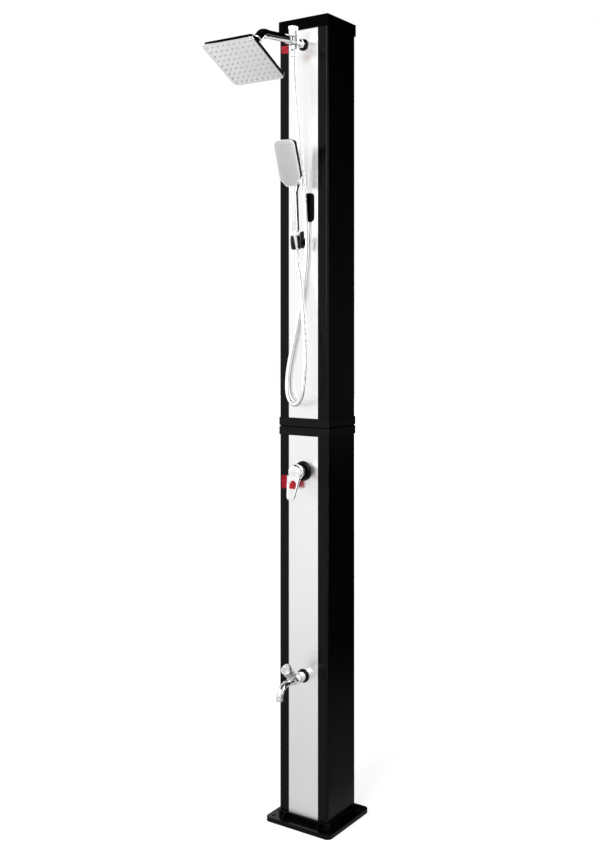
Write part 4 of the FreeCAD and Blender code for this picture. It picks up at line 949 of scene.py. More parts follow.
    def raise_faces(self, faces: Iterable[bmesh.types.BMFace], height: float,
                    scale: Sequence[float] = (1.0, 1.0), shift: Sequence[float] = (0.0, 0.0),
                    keep: bool = True) -> list[bmesh.types.BMFace]:
        """Extrude faces upwards.

        Args:
            faces: Faces to raise.
            height: Rise along Z.
            scale: Growth in X and Y about the faces' middle.
            shift: Move in X and Y.
            keep: Whether the first face stays, as the floor of a solid.

        Returns:
            The raised faces.
        """
        made = bmesh.ops.extrude_face_region(self.bm, geom=list(faces), use_keep_orig=keep)
        verts = [item for item in made["geom"] if isinstance(item, bmesh.types.BMVert)]
        tops = [item for item in made["geom"] if isinstance(item, bmesh.types.BMFace)]
        middle = sum((vert.co for vert in verts), Vector()) / len(verts)
        space = Matrix.Translation(-middle)
        bmesh.ops.scale(self.bm, vec=(scale[0], scale[1], 1.0), space=space, verts=verts)
        bmesh.ops.translate(self.bm, vec=(shift[0], shift[1], height), verts=verts)
        return tops

    def weld(self, distance: float = 0.0005) -> "Shape":
        """Merge doubles and turn faces outwards.

        Args:
            distance: How near two corners lie that become one.

        Returns:
            The shape.
        """
        bmesh.ops.remove_doubles(self.bm, verts=self.bm.verts, dist=distance)
        bmesh.ops.dissolve_degenerate(self.bm, edges=self.bm.edges, dist=distance)
        return self.outward()

    def outward(self) -> "Shape":
        """Turn all faces outwards."""
        bmesh.ops.recalc_face_normals(self.bm, faces=self.bm.faces)
        return self

    def soften(self, width: float, segments: int = 2, angle: float = 28.0,
               where: Callable[[Vector, Vector], bool] | None = None) -> "Shape":
        """Bevel the sharp edges.

        Args:
            width: Bevel width.
            segments: Bevel segments.
            angle: Least fold, in degrees, of an edge that counts as sharp.
            where: Test on an edge's middle and direction.

        Returns:
            The shape.
        """
        chosen = []
        for edge in self.bm.edges:
            if len(edge.link_faces) != 2 or edge.calc_face_angle(0.0) < math.radians(angle):
                continue
            first, second = (vert.co for vert in edge.verts)
            if where is None or where((first + second) / 2, (second - first).normalized()):
                chosen.append(edge)
        if chosen:
            bmesh.ops.bevel(self.bm, geom=chosen, offset=width, offset_type="OFFSET",
                            segments=segments, profile=0.5, affect="EDGES", material=-1,
                            clamp_overlap=True)
        return self

    def put(self, matrix: Matrix) -> "Shape":
        """Move the whole shape."""
        bmesh.ops.transform(self.bm, matrix=matrix, verts=self.bm.verts)
        return self

    def add(self, *others: "Shape") -> "Shape":
        """Take other shapes into this one.

        Args:
            others: Shapes to take in, which are used up.

        Returns:
            The shape.
        """
        for other in others:
            mesh = bpy.data.meshes.new("joined")
            other.bm.to_mesh(mesh)
            other.bm.free()
            self.bm.from_mesh(mesh)
            bpy.data.meshes.remove(mesh)
        return self

    def repeat(self, places: Iterable[Matrix]) -> "Shape":
        """Copies of this shape at several places, in one shape.

        Args:
            places: Where each copy goes.

        Returns:
            The shape of all copies.
        """
        mesh = bpy.data.meshes.new("repeated")
        self.bm.to_mesh(mesh)
        self.bm.clear()
        for place in places:
            before = len(self.bm.verts)
            self.bm.from_mesh(mesh)
            self.bm.verts.ensure_lookup_table()
            bmesh.ops.transform(self.bm, matrix=place, verts=self.bm.verts[before:])
        bpy.data.meshes.remove(mesh)
        return self


@dataclass
class Bench:
    """Turns shapes into named pieces that ride on the frame's bodies."""

    materials: dict[str, bpy.types.Material]

    def piece(self, name: str, shape: Shape, body: str, slot: str,
              replaces: Sequence[str] = (), smooth: float = 32.0,
              finish: str | None = None) -> bpy.types.Object:
        """Finish one piece.

        Args:
            name: The piece's name.
            shape: Its shape, in millimetres.
            body: The body that it moves with.
            slot: The record's slot that it takes its finish from.
            replaces: Frame nodes that it stands for.
            smooth: Folds below this angle, in degrees, are shaded smooth.
            finish: Material, where it isn't the slot's own.

        Returns:
            The new object.
        """
        bmesh.ops.scale(shape.bm, vec=(MM, MM, MM), verts=shape.bm.verts)
        mesh = bpy.data.meshes.new(name)
        shape.bm.to_mesh(mesh)
        shape.bm.free()
        mesh.shade_smooth()
        mesh.set_sharp_from_angle(angle=math.radians(smooth))
        mesh.materials.append(self.materials[finish or slot])
        made = bpy.data.objects.new(name, mesh)
        bpy.context.scene.collection.objects.link(made)
        if replaces:
            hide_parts(*replaces)
        if body:
            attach(made, body)
        LOG.info("%s: %d faces on %s", name, len(mesh.polygons), body or "a blend")
        return made


def on_wall(height: float, across: float = 0.0) -> Matrix:
    """The frame of a fitting on the front: Z outwards, Y up, origin on the column's front plane."""
    return Matrix.Translation((across, FRONT, height)) @ Matrix.Rotation(math.pi / 2, 4, "X")


def upright(across: float, deep: float, height: float) -> Matrix:
    """The frame of an upright piece."""
    return Matrix.Translation((across, deep, height))


def leaning(deep: float, height: float, degrees: float) -> Matrix:
    """A frame whose Z leans towards the front by so many degrees."""
    return (Matrix.Translation((0.0, deep, height))
            @ Matrix.Rotation(math.radians(degrees), 4, "X"))


def in_the_hand() -> Matrix:
    """The frame of the hand shower at rest: Z up its axis, origin at the cone nut's foot."""
    return leaning(FRONT - 33.0, 1545.0, 5.5)


def rounded_outline(width: float, depth: float, radius: float, steps: int = 8) -> list[Point]:
    """Outline of a rectangle with rounded corners about the origin.

    Args:
        width: Size along X.
        depth: Size along Y.
        radius: Radius of the corners.
        steps: Faces on each corner.

    Returns:
        The corners, counter-clockwise.
    """
    points = []
    for number, (side_x, side_y) in enumerate(((1, 1), (-1, 1), (-1, -1), (1, -1))):
        for step in range(steps + 1):
            turn = math.pi / 2 * (number + step / steps)
            points.append((side_x * (width / 2 - radius) + radius * math.cos(turn),
                           side_y * (depth / 2 - radius) + radius * math.sin(turn)))
    return points


def grip_outline(width: float, depth: float, radius: float, back: float,
                 draft: float = 0.36, steps: int = 7) -> list[Point]:
    """Section of a grip that is narrower in front, with tighter corners at the back.

    Args:
        width: Mean width.
        depth: Depth along Y.
        radius: Radius of the front corners.
        back: Radius of the back corners.
        draft: Share of the width that the front lacks against the back.
        steps: Faces on each corner.

    Returns:
        The corners, counter-clockwise.
    """
    points = []
    for number, (side_x, side_y) in enumerate(((1, 1), (-1, 1), (-1, -1), (1, -1))):
        arc = back if side_y > 0 else radius
        for step in range(steps + 1):
            turn = math.pi / 2 * (number + step / steps)
            y = side_y * (depth / 2 - arc) + arc * math.sin(turn)
            x = side_x * (width / 2 - arc) + arc * math.cos(turn)
            points.append((x * (1 + draft * y / depth), y))
    return points


def egg_outline(near: float, far: float, top: float, bottom: float,
                steps: int = 24) -> list[Point]:
    """Outline round two circles on Y.

    Args:
        near: Radius of the upper circle.
        far: Radius of the lower circle.
        top: Y of the upper centre.
        bottom: Y of the lower centre.
        steps: Faces on each circle.

    Returns:
        The corners, counter-clockwise.
    """
    lean = math.asin((near - far) / (top - bottom))
    arcs = ((top, near, -lean, math.pi + lean),
            (bottom, far, math.pi + lean, 2 * math.pi - lean))
    points = []
    for height, radius, start, end in arcs:
        for step in range(steps + 1):
            turn = start + (end - start) * step / steps
            points.append((radius * math.cos(turn), height + radius * math.sin(turn)))
    return points


def bent(corners: Sequence[Vector], radius: float, steps: int = 12) -> list[Vector]:
    """A line through corners, each inner corner rounded.

    Args:
        corners: The line's corners.
        radius: Radius at the inner corners.
        steps: Places on each arc.

    Returns:
        The line.
    """
    line = [corners[0]]
    for before, corner, after in zip(corners, corners[1:], corners[2:]):
        back, ahead = (before - corner).normalized(), (after - corner).normalized()
        half = back.angle(ahead) / 2
        centre = corner + (back + ahead).normalized() * (radius / math.sin(half))
        start = corner + back * (radius / math.tan(half)) - centre
        for step in range(steps + 1):
            turn = (math.pi - 2 * half) * step / steps
            line.append(centre + start * math.cos(turn) - back * (radius * math.sin(turn)))
    return line + [corners[-1]]


def grid_places(columns: Callable[[float], int], rows: Iterable[float],
                pitch: float) -> list[Matrix]:
    """Places of a nozzle grid.

    Args:
        columns: Gives, for a row's Y, how many nozzles stand on each side of its middle.
        rows: The rows' Y.
        pitch: Distance between nozzles in a row.

    Returns:
        A place for each nozzle.
    """
    return [Matrix.Translation((pitch * number, level, 0.0))
            for level in rows for number in range(-columns(level), columns(level) + 1)]


# ---------------------------------------------------------------- fittings


def cover(radius: float, bore: float, height: float) -> Shape:
    """A domed cover plate on the front panel.

    Args:
        radius: The plate's radius.
        bore: Radius of its hole.
        height: Height of its middle above the floor.

    Returns:
        The plate.
    """
    rim = radius - bore
    return Shape.lathe([
        (bore, SUNK), (radius - 0.4, SUNK), (radius, 0.2), (radius, 1.5),
        (radius - 0.06 * rim, 2.8), (radius - 0.22 * rim, 4.2), (radius - 0.45 * rim, 5.2),
        (radius - 0.75 * rim, 5.9), (bore + 0.3, 6.0), (bore, 5.8)],
        steps=64, closed=True).put(on_wall(height))


@dataclass
class Diverter:
    """The diverter under the arm: cover, valve with its coupling nut, and turning knob."""

    height: float = 2097.0
    out: float = 47.0

    def build(self, bench: Bench) -> None:
        """Make the three pieces.

        Args:
            bench: Where the pieces are finished.
        """
        bench.piece("diverter_cover", cover(15.75, 9.0, self.height), "column", "black_gloss",
                    ["diverter_rosette"])
        bench.piece("diverter_valve", self._valve(), "column", "chrome", ["diverter_body"])
        bench.piece("diverter_grip", self._grip(), "diverter_handle", "chrome",
                    ["diverter_knob"])

    def _valve(self) -> Shape:
        """Shank, coupling nut, upright barrel and the arm's outlet.

        Returns:
            The valve.
        """
        wall = on_wall(self.height)
        shank = Shape.lathe([
            (0, -18), (8.4, -18), (9, -17.4), (9, 7), (9.4, 7.6), (9.4, 8.6), (9, 9), (9, 22),
            (8.6, 22.6), (7.5, 23), (7.5, 26), (8.5, 28), (8.5, 40), (0, 40)]).put(wall)
        nut = Shape.prism(6, 22.0, 9.0, 21.0).soften(0.9, 3).put(wall)
        barrel = Shape.lathe([
            (0, -19), (7.4, -19), (8, -18.4), (8, -11), (9.6, -11), (10.4, -10.5), (11.7, -8.9),
            (12, -8.3), (12, -4.6), (11.6, -4.3), (11.6, -3.7), (12, -3.4), (12, 5.9),
            (11.7, 6.7), (10.6, 8.2), (10, 8.5), (0, 8.5)], steps=56)
        outlet = Shape.lathe([
            (0, 6), (8.8, 6), (8.8, 14), (9.2, 14.8), (11.8, 15.4), (12.4, 16.2), (12.6, 17),
            (12.6, 19), (12.3, 19.3), (12.3, 19.9), (12.6, 20.2), (12.6, 23.4), (12.2, 24.6),
            (11.4, 25), (0, 25)], steps=56).put(Matrix.Rotation(math.pi / 2, 4, "X"))
        axis = upright(0.0, FRONT - self.out, self.height)
        return barrel.put(axis).add(shank, nut, outlet.put(axis))

    def _grip(self) -> Shape:
        """The waisted knob with eight grip flutes and a dished top.

        Returns:
            The knob.
        """
        knob = Shape.lathe([
            (0, 0), (11.6, 0), (12.4, 0.5), (12.8, 1.4), (12.5, 3), (11.9, 7), (11.6, 12),
            (11.6, 16), (11.9, 20), (12.6, 23.5), (13.3, 26), (13.5, 27.4), (13.3, 28.8),
            (12.6, 29.7), (11.6, 30), (10, 30), (9.2, 29.4), (7.6, 28.2), (4, 27.6), (0, 27.5)],
            steps=96)
        knob.flute(3, 30.5, 8, 2.3, 0.55)
        return knob.put(upright(0.0, FRONT - self.out, self.height + 9.5))


@dataclass
class Arm:
    """The shower arm with the sleeve of its elbow."""

    start: tuple[float, float, float] = (0.0, -142.0, 2097.0)
    corner: tuple[float, float, float] = (0.0, -258.5, 2086.745)
    outlet: float = 46.0
    bend: float = 30.0

    def build(self, bench: Bench) -> None:
        """Make the arm.

        Args:
            bench: Where the pieces are finished.
        """
        start, corner = Vector(self.start), Vector(self.corner)
        out = Vector((0.0, -1.0, 0.0))
        down = Vector((0.0, -math.sqrt(0.5), -math.sqrt(0.5)))
        level_end = start + out * 10
        route = [start, level_end, corner, corner + down * self.outlet]
        tube = Shape.bar(bent(route, self.bend, 16), 11.0, 0.5)
        back = (level_end - corner).normalized()
        elbow = [corner + back * 21, corner, corner + down * 31]
        sleeve = Shape.bar(bent(elbow, self.bend, 16), 12.4, 1.3)
        band = Shape.bar([start + out * 0.3, start + out * 5], 11.9, 0.5)
        bench.piece("arm_tube", tube.add(sleeve, band), "column", "chrome", ["shower_arm"])


@dataclass
class RainHead:
    """The square rain head on its ball joint."""

    side: float = 156.0
    face: float = -28.0
    back: float = -17.5
    pitch: float = 16.6
    rows: int = 9
    ball_deep: float = -323.554
    ball_height: float = 2021.691
    tilt: float = -28.2

    def build(self, bench: Bench) -> None:
        """Make the retaining nut, the shell, the spray face and its nozzles.

        Args:
            bench: Where the pieces are finished.
        """
        spot = leaning(self.ball_deep, self.ball_height, self.tilt)
        bench.piece("ball_nut", self._nut().put(spot), "head_joint", "chrome",
                    ["ball_retaining_nut"])
        bench.piece("rain_shell", self._shell().put(spot), "rain_head", "chrome",
                    ["rain_head_shell"])
        bench.piece("rain_plate", self._plate().put(spot), "rain_head", "spray_plate",
                    ["rain_head_face"])
        half = self.rows // 2
        rows = [self.pitch * (number - half) for number in range(self.rows)]
        jets = Shape.lathe([(0, 0.9), (2.9, 0.9), (2.9, -0.25), (2.4, -0.6), (1.8, -0.7),
                            (1.45, -2.6), (0.75, -2.6), (0.6, -0.9), (0, -0.9)], steps=10)
        jets.put(Matrix.Translation((0.0, 0.0, self.face)))
        jets.repeat(grid_places(lambda _: half, rows, self.pitch))
        bench.piece("rain_jets", jets.put(spot), "rain_head", "grey_nozzle",
                    ["rain_head_nozzles"])

    def _nut(self) -> Shape:
        """The ball joint's retaining nut with its grip ribs.

        Returns:
            The nut.
        """
        low = self.back + 3
        nut = Shape.lathe([
            (11.6, low), (15.2, low), (16.3, low + 0.7), (17, low + 1.7), (17, low + 8),
            (16.6, low + 9), (15, 0), (13.2, 10.5), (12.8, 12), (12.3, 12.5), (11.5, 12.5),
            (8.9, 5.6), (9.4, 4.5), (10.1, 2.5), (10.4, 0), (10.1, -2.5), (9.4, -4.5),
            (9.4, -8), (11.6, -8.2)], steps=96, closed=True)
        return nut.flute(low + 1.4, low + 8.4, 16, 0.8, 0.5)

    def _shell(self) -> Shape:
        """The shallow shell with its boss.

        Returns:
            The shell.
        """
        outline = rounded_outline(self.side, self.side, 10.0, 8)
        shell = Shape.plate(outline, self.face, self.back)
        shell.soften(1.1, 3, where=lambda middle, _: abs(middle.z - self.back) < 0.01)
        shell.soften(0.5, 2, where=lambda middle, _: abs(middle.z - self.face) < 0.01)
        shell.pocket(self.face, 2.5, 1.6)
        boss = Shape.lathe([(0, -1), (25, -1), (24.6, 0.4), (22, 1.4), (17.5, 2.4), (16, 3),
                            (11.2, 3), (11.2, 4.5), (0, 4.5)], steps=56)
        return shell.add(boss.put(Matrix.Translation((0.0, 0.0, self.back))))

    def _plate(self) -> Shape:
        """The spray face with a fine line round its border.

        Returns:
            The spray face.
        """
        outline = rounded_outline(self.side - 6.2, self.side - 6.2, 7.0, 8)
        plate = Shape.plate(outline, self.face + 0.1, self.face + 1.5)
        plate.soften(0.35, 2)
        inner = rounded_outline(self.side - 15, self.side - 15, 5.0, 8)
        line = rounded_outline(self.side - 16.2, self.side - 16.2, 4.6, 8)
        bead = Shape.frame_plate(inner, line, self.face - 0.15, self.face + 0.3)
        return plate.add(bead)


@dataclass
class HandShower:
    """The hand shower with its cone nut."""

    width: float = 66.0
    length: float = 124.0
    thick: float = 13.5
    pitch: float = 7.0
    rows: int = 15
    chin_height: float = 167.0
    head_turn: float = 102.3

    def build(self, bench: Bench) -> None:
        """Make the body, the spray face, its nozzles and the hose's cone nut.

        Args:
            bench: Where the pieces are finished.
        """
        hand = in_the_hand()
        head = (hand @ Matrix.Translation((0.0, -7.0, self.chin_height))
                @ Matrix.Rotation(math.radians(self.head_turn), 4, "X"))
        shell = Shape.plate(self.outline(0.0), -self.thick, 0.0)
        shell.soften(1.9, 4, where=lambda middle, _: abs(middle.z + self.thick) < 0.01)
        shell.soften(0.5, 2, where=lambda middle, _: abs(middle.z) < 0.01)
        shell.pocket(0.0, 1.7, 1.5)
        shell.put(head)
        bench.piece("hand_shell", shell.add(self._handle().put(hand)), "hand_shower", "chrome",
                    ["handset_body"], smooth=40.0)
        plate = Shape.plate(self.outline(2.3), -1.5, -0.1).soften(0.3, 2)
        bench.piece("hand_plate", plate.put(head), "hand_shower", "spray_plate",
                    ["handset_face"], finish="hand_plate")
        jets = Shape.lathe([(0, -0.9), (1.5, -0.9), (1.5, 0.1), (1.2, 0.3), (0.9, 0.9),
                            (0.5, 0.9), (0.45, 0.2), (0, 0.2)], steps=8)
        rows = [12 + self.pitch * number for number in range(self.rows)]
        jets.repeat(grid_places(self._columns, rows, self.pitch))
        bench.piece("hand_jets", jets.put(head), "hand_shower", "grey_nozzle",
                    ["handset_nozzles"])
        bench.piece("cone_nut", self._cone().put(hand), "hand_shower", "chrome",
                    ["hose_cone_nut"])

    def outline(self, inset: float) -> list[Point]:
        """Outline of the head: rounded top, straight sides, narrow rounded chin.

        Args:
            inset: Distance inside the head's edge.

        Returns:
            The corners, counter-clockwise.
        """
        half, top = self.width / 2 - inset, self.length - inset
        shoulder, chin, arc = 22.0, 15.0 - inset * 0.7, 16.0 - inset
        points: list[Point] = []
        for side, start in ((1, 0.0), (-1, math.pi / 2)):
            for step in range(11):
                turn = start + math.pi / 2 * step / 10
                points.append((side * (half - arc) + arc * math.cos(turn),
                               top - arc + arc * math.sin(turn)))
        corners = [(-half, shoulder), (-chin, inset), (chin, inset), (half, shoulder)]
        ends = [(-half, top - arc), *corners, (half, top - arc)]
        for before, corner, after in zip(ends, ends[1:], ends[2:]):
            back = Vector(before) - Vector(corner)
            ahead = Vector(after) - Vector(corner)
            reach = 7.0 if corner[1] > inset else 5.0
            start, end = back.normalized() * reach, ahead.normalized() * reach
            for step in range(7):
                share = step / 6
                place = start * (1 - share) ** 2 + end * share ** 2
                points.append((corner[0] + place.x, corner[1] + place.y))
        return points

    def _columns(self, level: float) -> int:
        """Nozzles on each side of the middle in the row at one height.

        Args:
            level: The row's Y.

        Returns:
            The number of nozzles.
        """
        half = self.width / 2 - 7 - max(32 - level, 0.0) * 0.75
        return int(half // self.pitch)

    def _handle(self) -> Shape:
        """The slim handle that widens into the back of the head.

        Returns:
            The handle.
        """
        stations = ((49.0, 16.4, 12.8, 4.4, 0.0), (49.8, 17.5, 14.0, 5.0, 0.0),
                    (75.0, 18.0, 14.4, 5.2, 0.0), (115.0, 19.0, 15.2, 5.6, 0.0),
                    (150.0, 20.2, 16.0, 6.0, 0.0), (157.0, 21.6, 16.4, 6.4, -0.6),
                    (164.0, 25.0, 16.8, 6.8, -1.4), (171.0, 30.0, 16.6, 7.0, -1.6),
                    (178.0, 34.0, 14.6, 6.6, 0.4), (187.0, 38.0, 10.6, 4.8, 3.8),
                    (195.0, 40.0, 7.0, 3.0, 6.4))
        rings = [[Vector((x, y - forward, height))
                  for x, y in grip_outline(width, depth, radius, min(radius, 2.2))]
                 for height, width, depth, radius, forward in stations]
        return Shape.loft(rings)

    def _cone(self) -> Shape:
        """The cone nut with three fine rings at its upper end.

        Returns:
            The nut.
        """
        profile = [(3, 0), (7.2, 0), (7.8, 0.4), (8.05, 1.1), (10.9, 37.4), (11, 38.4), (11, 40)]
        for low in (40.3, 42.9, 45.5):
            profile += [(10.6, low), (10.6, low + 0.6), (11, low + 0.9), (11, low + 2.3)]
        return Shape.lathe(profile + [(10.6, 48.6), (9.9, 49), (3, 49)], steps=56, closed=True)


@dataclass
class Holder:
    """The cone clip and its bracket."""

    opening: float = 38.0
    plate_height: float = 1573.5
    neck_height: float = 1566.0

    def build(self, bench: Bench) -> None:
        """Make the clip and the bracket.

        Args:
            bench: Where the pieces are finished.
        """
        clip = Shape.clip([
            (8.6, 1.4), (9.2, 1.0), (11.4, 1.0), (12.1, 1.5), (13.4, 6), (14.0, 11), (14.2, 17),
            (14.2, 24), (13.9, 30), (13.3, 35), (12.9, 37.3), (12.5, 38), (11.8, 38),
            (11.4, 37.6)], 53.0, -0.95, 56)
        clip.put(in_the_hand() @ Matrix.Rotation(math.radians(self.opening), 4, "Z"))
        bench.piece("cone_clip", clip, "column", "black_gloss", ["holder_clip"], smooth=40.0)
        plate = Shape.plate(rounded_outline(18.0, 45.0, 6.0), SUNK, 3.9)
        plate.soften(1.1, 3, where=lambda middle, _: middle.z > 3.0)
        plate.put(on_wall(self.plate_height))
        neck = Shape.plate(rounded_outline(14.0, 20.0, 2.2, 5), 2.0, 26.5)
        neck.put(on_wall(self.neck_height))
        bench.piece("clip_bracket", plate.add(neck), "column", "black_gloss",
                    ["holder_bracket"])


@dataclass
class Display:
    """The upright display beside the hose."""

    height: float = 1659.0
    across: float = 18.5

    def build(self, bench: Bench) -> None:
        """Make the case and its blank window.

        Args:
            bench: Where the pieces are finished.
        """
        spot = on_wall(self.height, self.across)
        case = Shape.plate(rounded_outline(32.0, 77.0, 11.0), SUNK, 3.7)
        case.soften(1.1, 3, where=lambda middle, _: middle.z > 3.0)
        case.pocket(3.7, 2.8, 1.2)
        bench.piece("display_case", case.put(spot), "column", "black_gloss", ["display_frame"],
                    finish="matt_black")
        window = Shape.plate(rounded_outline(24.0, 69.0, 7.0), 2.4, 3.4).soften(0.35, 2)
        bench.piece("display_window", window.put(spot), "column", "dark_glass",
                    ["display_glass"])


@dataclass
class Mixer:
    """The mixer's cover and its loop lever."""

    height: float = 953.0

    def build(self, bench: Bench) -> None:
        """Make the cover and the lever.

        Args:
            bench: Where the pieces are finished.
        """
        bench.piece("mixer_cover", cover(26.5, 15.0, self.height), "column", "black_gloss",
                    ["mixer_rosette"])
        bench.piece("loop_lever", self._lever(), "mixer_handle", "chrome", ["mixer_lever"],
                    smooth=40.0)

    def _lever(self) -> Shape:
        """Dome and open loop, with soft edges all round.

        Returns:
            The lever.
        """
        dome = Shape.lathe([
            (15, 30), (20.4, 30), (21.2, 30.4), (21.5, 31.2), (21.5, 37.6), (21.1, 39.6),
            (19.9, 41.7), (17.9, 43.6), (14.8, 45.2), (10.5, 46.4), (5.5, 46.9), (0, 47),
            (0, 41.9), (5.4, 40.95), (10.2, 38.2), (13.8, 33.9)], steps=64, closed=True)
        dome.put(on_wall(self.height))
        loop = Shape.frame_plate(egg_outline(21.2, 12.5, 0.0, -62.0),
                                 egg_outline(12.6, 8.3, -34.0, -62.0), -3.5, 3.5)
        loop.trim(-9.0).soften(1.7, 4, angle=50.0)
        loop.put(leaning(FRONT - 41.0, self.height, 75.0))
        return dome.add(loop)


@dataclass
class FootTap:
    """The foot tap: cover, body with inclined headgear, spout and grooved knob."""

    height: float = 403.0
    out: float = 41.0
    run_end: float = 64.0
    spout_reach: float = 110.0
    spout_drop: float = 36.0

    def build(self, bench: Bench) -> None:
        """Make the four pieces.

        Args:
            bench: Where the pieces are finished.
        """
        bench.piece("tap_cover", cover(18.2, 9.0, self.height), "column", "black_gloss",
                    ["tap_rosette"])
        bench.piece("tap_valve", self._valve(), "column", "chrome", ["tap_body"],
                    finish="tap_chrome")
        bench.piece("spout_tube", self._spout(), "column", "chrome", ["tap_spout"],
                    finish="tap_chrome")
        bench.piece("tap_grip", self._knob(), "tap_lever", "chrome", ["tap_handle"],
                    finish="tap_chrome")

    def _headgear(self) -> Matrix:
        """The frame of the inclined axis."""
        return leaning(FRONT - self.out, self.height, 45.0)

    def _valve(self) -> Shape:
        """Shank, hexagon, run to the spout and the inclined headgear with its nut.

        Returns:
            The tap's body.
        """
        wall = on_wall(self.height)
        body = Shape.lathe([
            (0, -15), (7.5, -15), (8, -14.5), (8, -4), (9, -4), (9, 6.6), (12.4, 6.8),
            (13.2, 7.6), (13.2, 24.2), (12.4, 25.2), (9, 25.6), (9, 50), (8.8, 50.8),
            (8.6, 51), (8.6, 63.4), (8.2, 64), (0, 64)], steps=56).put(wall)
        hexagon = Shape.prism(6, 23.0, 27.0, 50.0).soften(1.1, 3).put(wall)
        bonnet = Shape.lathe([(0, 0), (8.5, 0), (8.5, 24.5), (8.1, 25), (8.1, 25.6), (8.5, 26),
                              (8.5, 28.6), (7.9, 29.9), (7.3, 30.5), (0, 30.5)])
        nut = Shape.prism(6, 22.0, 12.0, 24.0).soften(0.9, 3)
        return body.add(hexagon, bonnet.add(nut).put(self._headgear()))

    def _spout(self) -> Shape:
        """The bent spout with its ring and its open, lipped outlet.

        Returns:
            The spout.
        """
        end = FRONT - self.spout_reach
        mouth = Vector((0.0, end, self.height - self.spout_drop))
        corners = [Vector((0.0, FRONT - self.run_end, self.height)),
                   Vector((0.0, end, self.height)), mouth]
        tube = Shape.bar(bent(corners, 32.0, 20), 8.6, 0.3)
        ring = Shape.bar([corners[0], corners[0] + Vector((0.0, -6.0, 0.0))], 9.6, 0.6)
        lip = Shape.lathe([(6.4, 0), (8.3, 0), (8.8, 0.3), (9.0, 0.9), (9.0, 7.2), (8.7, 7.8),
                           (8.4, 8), (6.4, 8)], steps=40, closed=True)
        throat = Shape.lathe([(6.3, 3), (8.2, 3), (8.2, 12), (6.3, 12)], steps=40, closed=True)
        return tube.add(ring, lip.add(throat).put(Matrix.Translation(mouth)))

    def _knob(self) -> Shape:
        """The round knob with six side grooves, a ring and a dimple in its face.

        Returns:
            The knob.
        """
        knob = Shape.lathe([
            (0, 31), (12.6, 31), (13.6, 31.4), (14, 32.2), (14.2, 37), (14.4, 42), (14.5, 47),
            (14.6, 50), (14.9, 51), (15, 52), (15, 54.4), (14.7, 55.4), (14, 55.9), (13.2, 56),
            (10.3, 56), (10, 55.6), (9.7, 55.2), (9.4, 55.6), (9, 56), (2.2, 56), (2, 55.8),
            (2, 53.9), (0, 53.8)], steps=72)
        return knob.flute(32.6, 50.5, 6, 1.7, 0.34).put(self._headgear())


# ---------------------------------------------------------------- hose


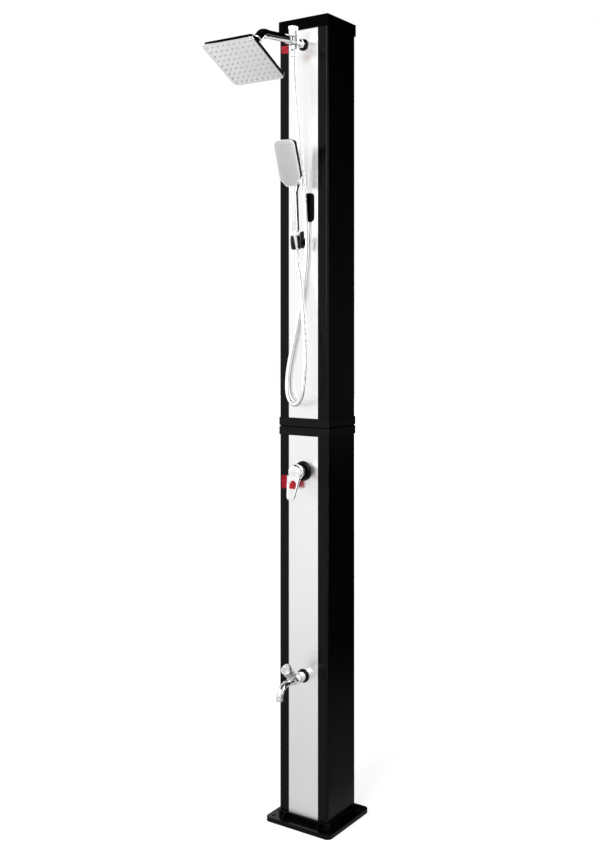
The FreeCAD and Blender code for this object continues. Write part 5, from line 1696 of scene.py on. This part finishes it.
@dataclass
class Hose:
    """The metal shower hose, from the diverter's nut to the hand shower's cone nut."""

    route: tuple[tuple[float, float, float], ...] = (
        (0.0, -0.117, 2.054), (0.0, -0.117, 2.010), (0.0048, -0.1145, 1.948),
        (0.006, -0.1055, 1.869), (0.009, -0.0928, 1.785), (0.013, -0.084, 1.700),
        (0.0165, -0.0808, 1.622), (0.0173, -0.0786, 1.549), (0.011, -0.0779, 1.476),
        (-0.003, -0.078, 1.396), (-0.021, -0.0782, 1.317), (-0.038, -0.0784, 1.250),
        (-0.0465, -0.0784, 1.200), (-0.0456, -0.0793, 1.1635), (-0.0357, -0.0843, 1.1442),
        (-0.0184, -0.093, 1.133), (0.0014, -0.103, 1.133), (0.0187, -0.1117, 1.1442),
        (0.0286, -0.1167, 1.1635), (0.0335, -0.118, 1.200), (0.036, -0.1155, 1.259),
        (0.029, -0.110, 1.337), (0.0185, -0.1035, 1.413), (0.008, -0.0995, 1.478),
        (0.0, -0.09993, 1.51315), (0.0, -0.103, 1.545))
    diameter: float = 0.0125
    length: float = 1.393
    rib_pitch: float = 3.1
    rib_depth: float = 0.32

    def build(self, bench: Bench) -> None:
        """Make the hose in two lengths that meet at the foot of its loop.

        Args:
            bench: Where the pieces are finished.
        """
        places = self._smooth_line()
        foot = min(range(len(places)), key=lambda number: places[number].z)
        fall = self._stretch(bench, "hose_fall", "column", places[:foot + 1])
        rise = self._stretch(bench, "hose_rise", "", places[foot:])
        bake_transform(rise)
        LOG.info("%s and %s: hose of %.3f m", fall.name, rise.name, self.length)

    def _stretch(self, bench: Bench, name: str, body: str, places: Sequence[Vector]) -> bpy.types.Object:
        """One length of the hose.

        Args:
            bench: Where the piece is finished.
            name: The piece's name.
            body: The body that it rides on, empty for the length that rides on none.
            places: Its line in metres.

        Returns:
            The piece.
        """
        length = self._length_of(places)
        shape = self._straight_hose(length / MM)
        self._lay_along(shape, places)
        piece = bench.piece(name, shape, body, "hose_silver", ["shower_hose"], smooth=50.0)
        [tuple(place) for place in places[::8]] + [tuple(places[-1])]
        return piece

    def _smooth_line(self) -> list[Vector]:
        """The NURBS line through the route, as close points in metres.

        Returns:
            The points.
        """
        curve = bpy.data.curves.new("hose_line", "CURVE")
        curve.dimensions = "3D"
        curve.resolution_u = 64
        spline = curve.splines.new("NURBS")
        spline.points.add(len(self.route) - 1)
        for point, place in zip(spline.points, self.route):
            point.co = (*place, 1.0)
        spline.order_u = 3
        spline.use_endpoint_u = True
        line = bpy.data.objects.new("hose_line", curve)
        mesh = bpy.data.meshes.new_from_object(line)
        places = [vert.co.copy() for vert in mesh.vertices]
        bpy.data.meshes.remove(mesh)
        bpy.data.objects.remove(line)
        bpy.data.curves.remove(curve)
        return places

    @staticmethod
    def _length_of(places: Sequence[Vector]) -> float:
        """Length of a line in metres."""
        return sum((after - before).length for before, after in zip(places, places[1:]))

    def _straight_hose(self, length: float) -> Shape:
        """The ribbed hose before it is bent, upright from Z = 0.

        Args:
            length: Its length in millimetres.

        Returns:
            The straight hose.
        """
        radius = self.diameter / MM / 2
        count = round(length / self.rib_pitch)
        pitch = length / count
        profile: list[Point] = []
        for number in range(count):
            start = number * pitch
            profile += [(radius - self.rib_depth, start), (radius, start + pitch * 0.22),
                        (radius, start + pitch * 0.78)]
        return Shape.lathe(profile + [(radius - self.rib_depth, length)], steps=20)

    def _lay_along(self, shape: Shape, places: Sequence[Vector]) -> None:
        """Bend the straight hose along the line, without twist.

        Args:
            shape: The straight hose.
            places: The line in metres.
        """
        points = [place / MM for place in places]
        reach = [0.0]
        for before, after in zip(points, points[1:]):
            reach.append(reach[-1] + (after - before).length)
        heading = [(after - before).normalized() for before, after in zip(points, points[1:])]
        side = heading[0].orthogonal().normalized()
        sides = []
        for direction in heading:
            side = (side - direction * side.dot(direction)).normalized()
            sides.append(side.copy())
        spot = 0
        for vert in sorted(shape.bm.verts, key=lambda item: item.co.z):
            along = min(max(vert.co.z, 0.0), reach[-1])
            while spot < len(heading) - 1 and reach[spot + 1] < along:
                spot += 1
            middle = points[spot] + heading[spot] * (along - reach[spot])
            across = heading[spot].cross(sides[spot])
            vert.co = middle + sides[spot] * vert.co.x + across * vert.co.y


BROKEN_EDGES: dict[str, float] = {
    "top_cap": 0.0012, "upper_collar": 0.0004, "lower_collar": 0.0004, "base_flange": 0.0010,
    "upper_front_panel": 0.0003, "lower_front_panel": 0.0003,
}


def main() -> None:
    """Build the studio and the dressed post."""
    logging.basicConfig(level=logging.INFO, format="%(message)s")
    Studio().build()
    wardrobe = Wardrobe()
    wardrobe.dress_nodes()
    wardrobe.break_edges(BROKEN_EDGES)
    bench = Bench(wardrobe.materials)
    for unit in (Diverter(), Arm(), RainHead(), HandShower(), Holder(), Display(), Mixer(),
                 FootTap(), Hose()):
        unit.build(bench)


if __name__ == "__main__":
    main()
